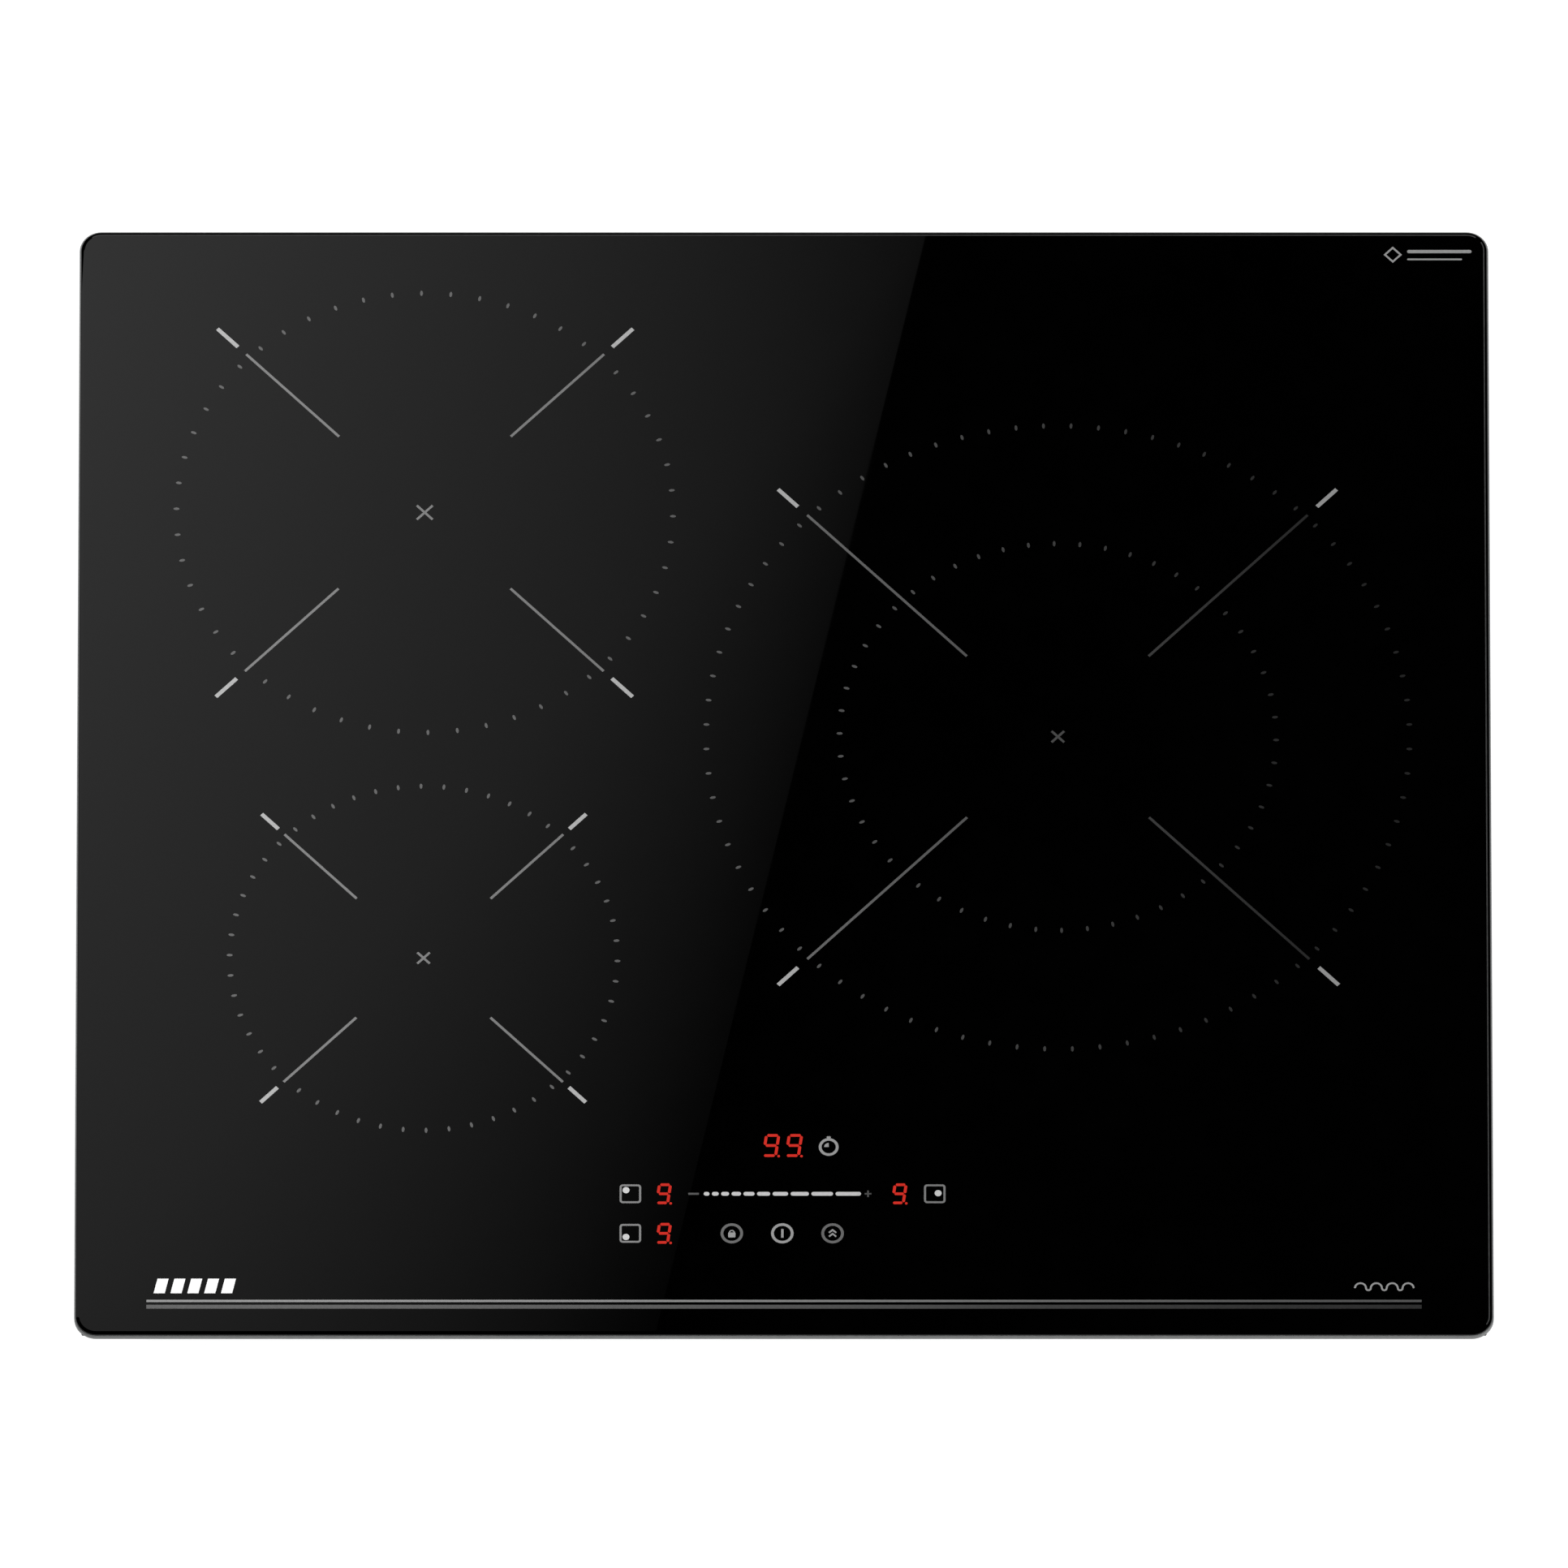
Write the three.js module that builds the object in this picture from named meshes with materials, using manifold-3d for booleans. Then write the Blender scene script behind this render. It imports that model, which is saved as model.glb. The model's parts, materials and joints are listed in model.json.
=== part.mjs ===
// Built-in induction hob: a glass-ceramic panel over a steel casing tray that holds three sprung
// coil assemblies, a blower, a power board and a touch control unit.
// Millimetres, +Z up, origin on the underside at the middle of the panel's outline.
// The user stands on the -Y side and +X is to the user's right.

import * as THREE from 'three';
import { mergeVertices } from 'three/addons/utils/BufferGeometryUtils.js';
import Module from 'manifold-3d';

const wasm = await Module();
wasm.setup();

// ---------------------------------------------------------------- driving dimensions

const GAP = 0.3;                      // between pieces that touch

const GLASS_WIDTH = 590;
const GLASS_DEPTH = 520;
const GLASS_THICKNESS = 4;
const GLASS_CORNER_RADIUS = 8.5;
const GLASS_EDGE_CHAMFER = 0.8;
const OVERALL_HEIGHT = 58;

const CUTOUT_MARGIN_X = 15;           // glass edge to the worktop cut-out, each side
const CUTOUT_MARGIN_Y = 15;
const CASING_PLAY_X = 4;              // cut-out to the casing wall, each side
const CASING_PLAY_Y = 9;

const SEAL_INSET = 3;                 // glass edge to the foam seal
const SEAL_WIDTH = 10;
const SEAL_THICKNESS = 2.2;

const WALL = 1;                       // casing sheet
const TRAY_CHAMFER = 14;              // sloped lower edge at front and rear

const RAIL_THICKNESS = 1.4;
const RAIL_LEG_WIDTH = 8;
const RAIL_LEG_DROP = 14;

const MICA_THICKNESS = 0.6;
const WINDING_THICKNESS = 5;
const FORMER_THICKNESS = 1.5;
const FORMER_LIP_HEIGHT = 2.5;
const FORMER_LIP_WIDTH = 1.6;
const FORMER_HUB_RADIUS = 16;
const SENSOR_BODY_RADIUS = 7.4;
const SENSOR_CAP_RADIUS = 5;
const SENSOR_FLANGE_RADIUS = 9;
const SENSOR_FLANGE_THICKNESS = 1.2;
const SENSOR_TAIL = 3;
const FERRITE_HEIGHT = 4.2;
const CARRIER_THICKNESS = 1.5;
const CARRIER_MARGIN = 1;             // carrier plate beyond the former's lip
const CARRIER_BORE_RADIUS = 14;
const COIL_TRAVEL = 3;                // how far a coil assembly gives when pressed down

const SPRING_SEAT_HEIGHT = 20;
const SPRING_RADIUS = 4.8;            // to the middle of the wire
const SPRING_WIRE = 1.2;
const SPRING_TURNS = 4.5;
const SPRING_SEAT_RADIUS = 6;
const SPRING_PIN_RADIUS = 3.2;
const SPRINGS_PER_COIL = 3;
const SPRING_EDGE_INSET = 17;         // carrier edge to the spring's axis

const CEILING_CLEARANCE = 2.7;        // fixed components to a coil carrier pressed right down
const FAN_HEADROOM = 7;               // extra air space over the blower
const PIN_HEADROOM = 4;

// Cooking zones, with each zone centre held at its distance from the glass edges.
const ZONES = {
  left_rear: {
    x: -GLASS_WIDTH / 2 + 144.8,
    y: GLASS_DEPTH / 2 - 133.3,
    windings: [{ name: 'winding_left_rear', inner: 20, outer: 96 }],
    firstSpring: 30,
    segments: 36,
  },
  left_front: {
    x: -GLASS_WIDTH / 2 + 144.8,
    y: -GLASS_DEPTH / 2 + 176.8,
    windings: [{ name: 'winding_left_front', inner: 20, outer: 74 }],
    firstSpring: 90,
    segments: 32,
  },
  right: {
    x: GLASS_WIDTH / 2 - 180.7,
    y: GLASS_DEPTH / 2 - 239.1,
    windings: [
      { name: 'winding_right_inner', inner: 24, outer: 86 },
      { name: 'winding_right_outer', inner: 98, outer: 138 },
    ],
    firstSpring: 90,
    segments: 40,
  },
};
const WINDING_TO_LIP = 0.4;

const POWER_BOARD_WIDTH = 185;
const POWER_BOARD_DEPTH = 176;
const BOARD_THICKNESS = 1.6;
const POWER_BOARD_STANDOFF = 7;
const STANDOFF_RADIUS = 3;
const STANDOFF_INSET = 8;
const HEATSINK_LENGTH = 110;
const HEATSINK_FINS = 9;
const HEATSINK_FIN = 1.4;
const HEATSINK_PITCH = 5.4;
const HEATSINK_BASE = 4;

const FAN_SIZE = 92;
const FAN_WALL = 1.6;
const FAN_ROTOR_RADIUS = 36;
const FAN_ROTOR_CLEARANCE = 2;
const FAN_HUB_RADIUS = 15;
const FAN_BLADES = 15;
const FAN_BLADE_LENGTH = 9;
const FAN_BLADE_THICKNESS = 1.2;
const FAN_PIN_RADIUS = 5;
const GRILLE_THICKNESS = 1.3;
const GRILLE_RADIUS = 42;
const INTAKE_RADIUS = 37;
const GRILLE_BAR = 2;
const GRILLE_SLOT = 5;
const DUCT_WALL = 1.2;
const DUCT_LENGTH = 46;

const CONTROL_WIDTH = 156;
const CONTROL_DEPTH = 68;
const CONTROL_FROM_EDGE = 34;         // glass front edge to the control unit
const CONTROL_HEIGHT = 9.5;
const CONTROL_WALL = 1.5;
const CONTROL_TOP_DROP = 1.2;         // control carrier rim below the glass
const CONTROL_LEG = 6;
const CONTROL_BOARD_MARGIN = 2.5;
const CONTROL_BOARD_LIFT = 2.1;
const DIGIT_WIDTH = 11;
const DIGIT_HEIGHT = 14;

const TERMINAL_WIDTH = 50;
const TERMINAL_DEPTH = 24;
const TERMINAL_HEIGHT = 21;
const TERMINAL_FROM_SIDE = 76;        // casing side wall to the middle of the terminal block
const TERMINAL_FROM_REAR = 14;
const WINDOW_WIDTH = 60;
const WINDOW_HEIGHT = 24;
const COVER_LAP = 6;
const COVER_THICKNESS = 1.5;
const COVER_BULGE = 4;
const GROMMET_FROM_SIDE = 26;
const GROMMET_BORE_RADIUS = 6;
const GROMMET_NECK_RADIUS = 8.7;
const GROMMET_FLANGE_RADIUS = 10.8;
const GROMMET_LIFT = 2;               // flange above the tray's sloped edge
const GROMMET_FLANGE_THICKNESS = 2.6;

const CLIP_WIDTH = 22;
const CLIP_THICKNESS = 0.8;
const CLIP_FROM_CORNER = 116;         // casing corner to the middle of a clip
const CLIP_FOOT_BOTTOM = 5;
const CLIP_FOOT_HEIGHT = 12;
const CLIP_RISE = 28;                 // blade height above its foot
const CLIP_BELLY = 7.2;               // how far the blade stands out of the casing
const CLIP_BELLY_SHARE = 0.7;         // belly height as a share of the rise
const CLIP_TIP = 6.2;                 // where the blade's top end stands, outer face
const CLIP_ROOT_FLARE = 0.4;          // extra room between the blade's lower end and the wall

const VENT_WIDTH = 3;
const VENT_HEIGHT = 16;
const VENT_PITCH = 8;
const VENT_TOP_DROP = 10;             // casing rim to the top of a vent
const FRONT_VENTS = 30;
const REAR_VENTS = 22;
const SIDE_VENTS = 8;

// ---------------------------------------------------------------- levels and outlines

const glassTop = OVERALL_HEIGHT;
const glassBottom = glassTop - GLASS_THICKNESS;
const sealTop = glassBottom - GAP;
const trayHalfWidth = GLASS_WIDTH / 2 - CUTOUT_MARGIN_X - CASING_PLAY_X;
const trayHalfDepth = GLASS_DEPTH / 2 - CUTOUT_MARGIN_Y - CASING_PLAY_Y;
const railTop = glassBottom - GAP;
const trayTop = railTop - RAIL_THICKNESS - GAP;

const micaTop = glassBottom - GAP;
const windingTop = micaTop - MICA_THICKNESS - GAP;
const windingBottom = windingTop - WINDING_THICKNESS;
const formerTop = windingBottom - GAP;
const formerBottom = formerTop - FORMER_THICKNESS;
const carrierTop = formerBottom - GAP - FERRITE_HEIGHT;
const carrierBottom = carrierTop - CARRIER_THICKNESS;
const lowCeiling = carrierBottom - COIL_TRAVEL - CEILING_CLEARANCE;

const boardBottom = WALL + POWER_BOARD_STANDOFF + GAP;
const boardTop = boardBottom + BOARD_THICKNESS;
const boardCentre = new THREE.Vector2(ZONES.right.x - 2, ZONES.right.y + 2);

const grilleBottom = WALL + GAP;
const fanBottom = grilleBottom + GRILLE_THICKNESS + GAP;
const fanTop = lowCeiling - FAN_HEADROOM;
const fanCentre = new THREE.Vector2(
  boardCentre.x - POWER_BOARD_WIDTH / 2 - FAN_SIZE / 2 - 12,
  boardCentre.y + 35,
);

const controlFront = -GLASS_DEPTH / 2 + CONTROL_FROM_EDGE;
const controlRear = controlFront + CONTROL_DEPTH;
const controlTop = glassBottom - CONTROL_TOP_DROP;
const controlBottom = controlTop - CONTROL_HEIGHT;
const controlBoardBottom = controlBottom + CONTROL_WALL + CONTROL_BOARD_LIFT + GAP;
const controlBoardTop = controlBoardBottom + BOARD_THICKNESS;
const controlRows = { timer: controlRear - 12.3, upper: controlRear - 35, lower: controlRear - 53.2 };
const digitColumns = { left: -49.9, right: 48.2 };

const coverCentreX = trayHalfWidth - TERMINAL_FROM_SIDE;
const windowBottom = TRAY_CHAMFER + COVER_LAP - 1;
const grommetX = trayHalfWidth - GROMMET_FROM_SIDE;
const grommetZ = TRAY_CHAMFER + GROMMET_LIFT + GROMMET_FLANGE_RADIUS;

const clipFootTop = CLIP_FOOT_BOTTOM + CLIP_FOOT_HEIGHT;
const clipY = trayHalfDepth - CLIP_FROM_CORNER;

// ---------------------------------------------------------------- solids

// Flips a closed surface whose faces point inwards.
function outward(geometry) {
  const position = geometry.attributes.position;
  const index = geometry.index.array;
  const a = new THREE.Vector3();
  const b = new THREE.Vector3();
  const c = new THREE.Vector3();
  let volume = 0;
  for (let i = 0; i < index.length; i += 3) {
    a.fromBufferAttribute(position, index[i]);
    b.fromBufferAttribute(position, index[i + 1]);
    c.fromBufferAttribute(position, index[i + 2]);
    volume += a.dot(b.cross(c));
  }
  if (volume < 0) {
    for (let i = 0; i < index.length; i += 3) {
      [index[i], index[i + 1]] = [index[i + 1], index[i]];
    }
  }
  return geometry;
}

// Joins shared corners and drops triangles with no area, which a profile on its axis leaves.
function welded(geometry) {
  geometry.deleteAttribute('normal');
  geometry.deleteAttribute('uv');
  const merged = mergeVertices(geometry, 1e-3);
  const index = merged.index.array;
  const kept = [];
  for (let i = 0; i < index.length; i += 3) {
    const [p, q, r] = [index[i], index[i + 1], index[i + 2]];
    if (p !== q && q !== r && r !== p) kept.push(p, q, r);
  }
  merged.setIndex(kept);
  return outward(merged);
}

function solid(geometry) {
  const shape = welded(geometry);
  return new wasm.Manifold(new wasm.Mesh({
    numProp: 3,
    vertProperties: new Float32Array(shape.attributes.position.array),
    triVerts: new Uint32Array(shape.index.array),
  }));
}

function geometryOf(body) {
  const mesh = body.getMesh();
  const geometry = new THREE.BufferGeometry();
  geometry.setAttribute('position', new THREE.BufferAttribute(mesh.vertProperties, 3));
  geometry.setIndex(new THREE.BufferAttribute(mesh.triVerts, 1));
  return geometry;
}

function joined(geometries) {
  return geometries.map(solid).reduce((sum, next) => sum.add(next));
}

function cut(body, geometries) {
  return geometries.length ? body.subtract(joined(geometries)) : body;
}

function box(x, y, z) {
  const geometry = new THREE.BoxGeometry(x[1] - x[0], y[1] - y[0], z[1] - z[0]);
  return geometry.translate((x[0] + x[1]) / 2, (y[0] + y[1]) / 2, (z[0] + z[1]) / 2);
}

function rod(x, y, radius, z, segments = 12) {
  const geometry = new THREE.CylinderGeometry(radius, radius, z[1] - z[0], segments);
  return geometry.rotateX(Math.PI / 2).translate(x, y, (z[0] + z[1]) / 2);
}

// Turns a closed (radius, height) outline about the vertical through (x, y).
function turned(outline, x, y, segments) {
  const points = outline.map(([r, z]) => new THREE.Vector2(r, z));
  points.push(points[0].clone());
  return new THREE.LatheGeometry(points, segments).rotateX(Math.PI / 2).translate(x, y, 0);
}

function shapeOf(points) {
  return new THREE.Shape(points.map(([x, y]) => new THREE.Vector2(x, y)));
}

function prism(shape, z, curveSegments = 8) {
  const options = { depth: z[1] - z[0], bevelEnabled: false, curveSegments };
  return new THREE.ExtrudeGeometry(shape, options).translate(0, 0, z[0]);
}

// Sweeps a (Y, Z) outline along X.
function sweptX(shape, x) {
  const axes = new THREE.Matrix4().makeBasis(
    new THREE.Vector3(0, 1, 0),
    new THREE.Vector3(0, 0, 1),
    new THREE.Vector3(1, 0, 0),
  );
  return prism(shape, x).applyMatrix4(axes);
}

// Sweeps an (X, Z) outline along Y.
function sweptY(shape, y) {
  return prism(shape, [-y[1], -y[0]]).rotateX(Math.PI / 2);
}

function roundedRectangle(width, depth, radius) {
  const shape = new THREE.Shape();
  const x = width / 2 - radius;
  const y = depth / 2 - radius;
  shape.absarc(x, y, radius, 0, Math.PI / 2);
  shape.absarc(-x, y, radius, Math.PI / 2, Math.PI);
  shape.absarc(-x, -y, radius, Math.PI, Math.PI * 1.5);
  shape.absarc(x, -y, radius, Math.PI * 1.5, Math.PI * 2);
  return shape;
}

function span(middle, length) {
  return [middle - length / 2, middle + length / 2];
}

// ---------------------------------------------------------------- materials

const MATERIALS = {
  glass: [0x060607, 0.06, 0],
  seal: [0x1d1d1f, 0.95, 0],
  steel: [0xa9adb0, 0.42, 1],
  aluminium: [0xc9ccce, 0.35, 1],
  spring: [0x8d9196, 0.3, 1],
  copper: [0xb0643a, 0.4, 1],
  mica: [0xc9bd9c, 0.7, 0],
  plastic: [0x17181a, 0.55, 0],
  sensor: [0xe8e4da, 0.6, 0],
  board: [0x1f5a37, 0.5, 0],
  ferrite: [0x2c2d30, 0.6, 0],
  capacitor: [0xd6b52c, 0.45, 0],
  guide: [0xe9e9ea, 0.5, 0],
};

const hob = new THREE.Group();

function addPart(name, geometry, materialName) {
  const [color, roughness, metalness] = MATERIALS[materialName];
  const material = new THREE.MeshStandardMaterial({ color, roughness, metalness });
  const mesh = new THREE.Mesh(geometry, material);
  mesh.name = name;
  hob.add(mesh);
}

// ---------------------------------------------------------------- panel, seal and rails

function addGlassPanel() {
  const shape = roundedRectangle(GLASS_WIDTH, GLASS_DEPTH, GLASS_CORNER_RADIUS);
  const geometry = new THREE.ExtrudeGeometry(shape, {
    depth: GLASS_THICKNESS - 2 * GLASS_EDGE_CHAMFER,
    bevelThickness: GLASS_EDGE_CHAMFER,
    bevelSize: GLASS_EDGE_CHAMFER,
    bevelOffset: -GLASS_EDGE_CHAMFER,
    bevelSegments: 1,
    curveSegments: 8,
  });
  geometry.translate(0, 0, glassBottom + GLASS_EDGE_CHAMFER);
  addPart('glass_panel', welded(geometry), 'glass');
}

function addSeals() {
  const outerX = GLASS_WIDTH / 2 - SEAL_INSET;
  const outerY = GLASS_DEPTH / 2 - SEAL_INSET;
  const innerY = outerY - SEAL_WIDTH;
  const z = [sealTop - SEAL_THICKNESS, sealTop];
  const rows = { seal_front: [-outerY, -innerY], seal_rear: [innerY, outerY] };
  for (const [name, y] of Object.entries(rows)) {
    addPart(name, welded(box([-outerX, outerX], y, z)), 'seal');
  }
  const innerX = outerX - SEAL_WIDTH;
  const columns = { seal_left: [-outerX, -innerX], seal_right: [innerX, outerX] };
  for (const [name, x] of Object.entries(columns)) {
    addPart(name, welded(box(x, [-innerY + GAP, innerY - GAP], z)), 'seal');
  }
}

// Angle profiles under the glass: one leg over the casing rim, one inside the casing wall.
function addRails() {
  const top = [railTop - RAIL_THICKNESS, railTop];
  const drop = [railTop - RAIL_LEG_DROP, railTop - RAIL_THICKNESS / 2];
  const legOffset = WALL + GAP;
  const legInner = legOffset + RAIL_THICKNESS;
  const legEndX = trayHalfWidth - legInner - GAP;
  const innerY = trayHalfDepth - RAIL_LEG_WIDTH;
  for (const [name, side] of [['rail_front', -1], ['rail_rear', 1]]) {
    const flat = [side * innerY, side * trayHalfDepth].sort((p, q) => p - q);
    const leg = [side * (trayHalfDepth - legInner), side * (trayHalfDepth - legOffset)].sort((p, q) => p - q);
    const body = joined([
      box([-trayHalfWidth, trayHalfWidth], flat, top),
      box([-legEndX, legEndX], leg, drop),
    ]);
    addPart(name, geometryOf(body), 'aluminium');
  }
  const endY = innerY - GAP;
  for (const [name, side] of [['rail_left', -1], ['rail_right', 1]]) {
    const flat = [side * (trayHalfWidth - RAIL_LEG_WIDTH), side * trayHalfWidth].sort((p, q) => p - q);
    const leg = [side * (trayHalfWidth - legInner), side * (trayHalfWidth - legOffset)].sort((p, q) => p - q);
    const body = joined([
      box(flat, [-endY, endY], top),
      box(leg, [-endY, endY], drop),
    ]);
    addPart(name, geometryOf(body), 'aluminium');
  }
}

// ---------------------------------------------------------------- casing tray

// Front-to-rear section of the tray, moved in from the outer faces by the given offset.
function traySection(offset, top) {
  const slope = offset * (Math.SQRT2 - 1);
  const y = trayHalfDepth - offset;
  const floorY = trayHalfDepth - TRAY_CHAMFER - slope;
  const knee = TRAY_CHAMFER + slope;
  return shapeOf([[-floorY, offset], [floorY, offset], [y, knee], [y, top], [-y, top], [-y, knee]]);
}

function ventRow(count, middle, makeSlot) {
  const slots = [];
  for (let i = 0; i < count; i += 1) {
    slots.push(makeSlot(span(middle + (i - (count - 1) / 2) * VENT_PITCH, VENT_WIDTH)));
  }
  return slots;
}

function trayVents() {
  const z = [trayTop - VENT_TOP_DROP - VENT_HEIGHT, trayTop - VENT_TOP_DROP];
  const through = 3 * WALL;
  const front = span(-trayHalfDepth, through);
  const rear = span(trayHalfDepth, through);
  const left = span(-trayHalfWidth, through);
  const right = span(trayHalfWidth, through);
  return [
    ...ventRow(FRONT_VENTS, 0, (x) => box(x, front, z)),
    ...ventRow(REAR_VENTS, fanCentre.x, (x) => box(x, rear, z)),
    ...ventRow(SIDE_VENTS, 0, (y) => box(left, y, z)),
    ...ventRow(SIDE_VENTS, 0, (y) => box(right, y, z)),
  ];
}

// Where a zone's springs stand, evenly spread under its carrier plate.
function springSpots(zone) {
  const reach = carrierRadius(zone) - SPRING_EDGE_INSET;
  return Array.from({ length: SPRINGS_PER_COIL }, (_, i) => {
    const turn = THREE.MathUtils.degToRad(zone.firstSpring + (i * 360) / SPRINGS_PER_COIL);
    return [zone.x + reach * Math.cos(turn), zone.y + reach * Math.sin(turn)];
  });
}

function trayPosts() {
  const posts = [];
  const floor = WALL / 2;
  for (const zone of Object.values(ZONES)) {
    for (const [x, y] of springSpots(zone)) {
      posts.push(rod(x, y, SPRING_SEAT_RADIUS, [floor, SPRING_SEAT_HEIGHT], 10));
      posts.push(rod(x, y, SPRING_PIN_RADIUS, [SPRING_SEAT_HEIGHT - WALL, lowCeiling - PIN_HEADROOM], 8));
    }
  }
  for (const sideX of [-1, 1]) {
    for (const sideY of [-1, 1]) {
      const x = boardCentre.x + sideX * (POWER_BOARD_WIDTH / 2 - STANDOFF_INSET);
      const y = boardCentre.y + sideY * (POWER_BOARD_DEPTH / 2 - STANDOFF_INSET);
      posts.push(rod(x, y, STANDOFF_RADIUS, [floor, WALL + POWER_BOARD_STANDOFF], 8));
    }
  }
  return posts;
}

function addCasingTray() {
  const shell = solid(sweptX(traySection(0, trayTop), [-trayHalfWidth, trayHalfWidth]));
  const inside = sweptX(traySection(WALL, trayTop + WALL), [-trayHalfWidth + WALL, trayHalfWidth - WALL]);
  const rearWall = span(trayHalfDepth, 3 * WALL);
  const window = box(span(coverCentreX, WINDOW_WIDTH), rearWall, [windowBottom, windowBottom + WINDOW_HEIGHT]);
  const inlet = rod(grommetX, 0, GROMMET_NECK_RADIUS + GAP, rearWall, 16);
  inlet.rotateX(-Math.PI / 2).translate(0, 0, grommetZ);
  const intake = rod(fanCentre.x, fanCentre.y, INTAKE_RADIUS, [-WALL, 2 * WALL], 32);
  const body = cut(shell, [inside, ...trayVents(), window, inlet, intake]);
  addPart('casing_tray', geometryOf(body.add(joined(trayPosts()))), 'steel');
}

// ---------------------------------------------------------------- coil assemblies

function formerRadius(zone) {
  const widest = Math.max(...zone.windings.map((winding) => winding.outer));
  return widest + WINDING_TO_LIP + FORMER_LIP_WIDTH;
}

function carrierRadius(zone) {
  return formerRadius(zone) + CARRIER_MARGIN;
}

function addCarrier(name, zone) {
  const ring = [
    [CARRIER_BORE_RADIUS, carrierBottom],
    [carrierRadius(zone), carrierBottom],
    [carrierRadius(zone), carrierTop],
    [CARRIER_BORE_RADIUS, carrierTop],
  ];
  addPart(`coil_carrier_${name}`, welded(turned(ring, zone.x, zone.y, zone.segments)), 'aluminium');
}

// A dished ring: its hub stands on the carrier, and its lip holds the winding's edge.
function addFormer(name, zone) {
  const bore = SENSOR_BODY_RADIUS + GAP;
  const outer = formerRadius(zone);
  const lip = outer - FORMER_LIP_WIDTH;
  const outline = [
    [bore, carrierTop + GAP],
    [FORMER_HUB_RADIUS, carrierTop + GAP],
    [FORMER_HUB_RADIUS, formerBottom],
    [outer, formerBottom],
    [outer, formerTop + FORMER_LIP_HEIGHT],
    [lip, formerTop + FORMER_LIP_HEIGHT],
    [lip, formerTop],
    [bore, formerTop],
  ];
  addPart(`coil_former_${name}`, welded(turned(outline, zone.x, zone.y, zone.segments)), 'plastic');
}

function addWindings(zone) {
  for (const { name, inner, outer } of zone.windings) {
    const ring = [[inner, windingBottom], [outer, windingBottom], [outer, windingTop], [inner, windingTop]];
    addPart(name, welded(turned(ring, zone.x, zone.y, zone.segments)), 'copper');
  }
}

function addMicaDisc(name, zone) {
  const bore = SENSOR_CAP_RADIUS + 2 * GAP;
  const outer = formerRadius(zone) - FORMER_LIP_WIDTH;
  const bottom = micaTop - MICA_THICKNESS;
  const ring = [[bore, bottom], [outer, bottom], [outer, micaTop], [bore, micaTop]];
  addPart(`mica_disc_${name}`, welded(turned(ring, zone.x, zone.y, zone.segments)), 'mica');
}

// Thermistor holder: its flange rests on the former and its cap reaches the glass.
function addSensor(name, zone) {
  const flangeBottom = formerTop + GAP;
  const flangeTop = flangeBottom + SENSOR_FLANGE_THICKNESS;
  const outline = [
    [0, formerBottom - SENSOR_TAIL],
    [SENSOR_BODY_RADIUS, formerBottom - SENSOR_TAIL],
    [SENSOR_BODY_RADIUS, flangeBottom],
    [SENSOR_FLANGE_RADIUS, flangeBottom],
    [SENSOR_FLANGE_RADIUS, flangeTop],
    [SENSOR_CAP_RADIUS, flangeTop],
    [SENSOR_CAP_RADIUS, micaTop],
    [0, micaTop],
  ];
  addPart(`temperature_sensor_${name}`, welded(turned(outline, zone.x, zone.y, 16)), 'sensor');
}

class Helix extends THREE.Curve {
  constructor(x, y, z, turns) {
    super();
    Object.assign(this, { x, y, z, turns });
  }

  getPoint(t, target = new THREE.Vector3()) {
    const angle = 2 * Math.PI * this.turns * t;
    const x = this.x + SPRING_RADIUS * Math.cos(angle);
    const y = this.y + SPRING_RADIUS * Math.sin(angle);
    return target.set(x, y, this.z[0] + (this.z[1] - this.z[0]) * t);
  }
}

function addCoilSprings(name, zone) {
  const rise = [SPRING_SEAT_HEIGHT + GAP + SPRING_WIRE, carrierBottom - GAP - SPRING_WIRE];
  const wire = new THREE.Shape();
  wire.absarc(0, 0, SPRING_WIRE / 2, 0, 2 * Math.PI);
  springSpots(zone).forEach(([x, y], i) => {
    const options = {
      steps: Math.round(SPRING_TURNS * 8),
      bevelEnabled: false,
      curveSegments: 2,
      extrudePath: new Helix(x, y, rise, SPRING_TURNS),
    };
    const geometry = new THREE.ExtrudeGeometry(wire, options);
    addPart(`coil_spring_${name}_${i + 1}`, welded(geometry), 'spring');
  });
}

function addCoilAssembly(name, zone) {
  addCarrier(name, zone);
  addFormer(name, zone);
  addWindings(zone);
  addMicaDisc(name, zone);
  addSensor(name, zone);
  addCoilSprings(name, zone);
}

// ---------------------------------------------------------------- power electronics

const heatsinkWidth = (HEATSINK_FINS - 1) * HEATSINK_PITCH + HEATSINK_FIN;
const heatsinkX = [boardCentre.x - POWER_BOARD_WIDTH / 2 + 40, boardCentre.x - POWER_BOARD_WIDTH / 2 + 40 + HEATSINK_LENGTH];
const heatsinkY = span(fanCentre.y, heatsinkWidth);

function addPowerBoard() {
  const x = span(boardCentre.x, POWER_BOARD_WIDTH);
  const y = span(boardCentre.y, POWER_BOARD_DEPTH);
  addPart('power_board', welded(box(x, y, [boardBottom, boardTop])), 'board');
}

function addHeatsink() {
  const base = boardTop + GAP;
  const root = base + HEATSINK_BASE;
  const outline = [[heatsinkY[1], base], [heatsinkY[0], base]];
  for (let i = 0; i < HEATSINK_FINS; i += 1) {
    const y = heatsinkY[0] + i * HEATSINK_PITCH;
    if (i > 0) outline.push([y, root]);
    outline.push([y, lowCeiling], [y + HEATSINK_FIN, lowCeiling]);
    if (i < HEATSINK_FINS - 1) outline.push([y + HEATSINK_FIN, root]);
  }
  addPart('heatsink', welded(sweptX(shapeOf(outline), heatsinkX)), 'aluminium');
}

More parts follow.
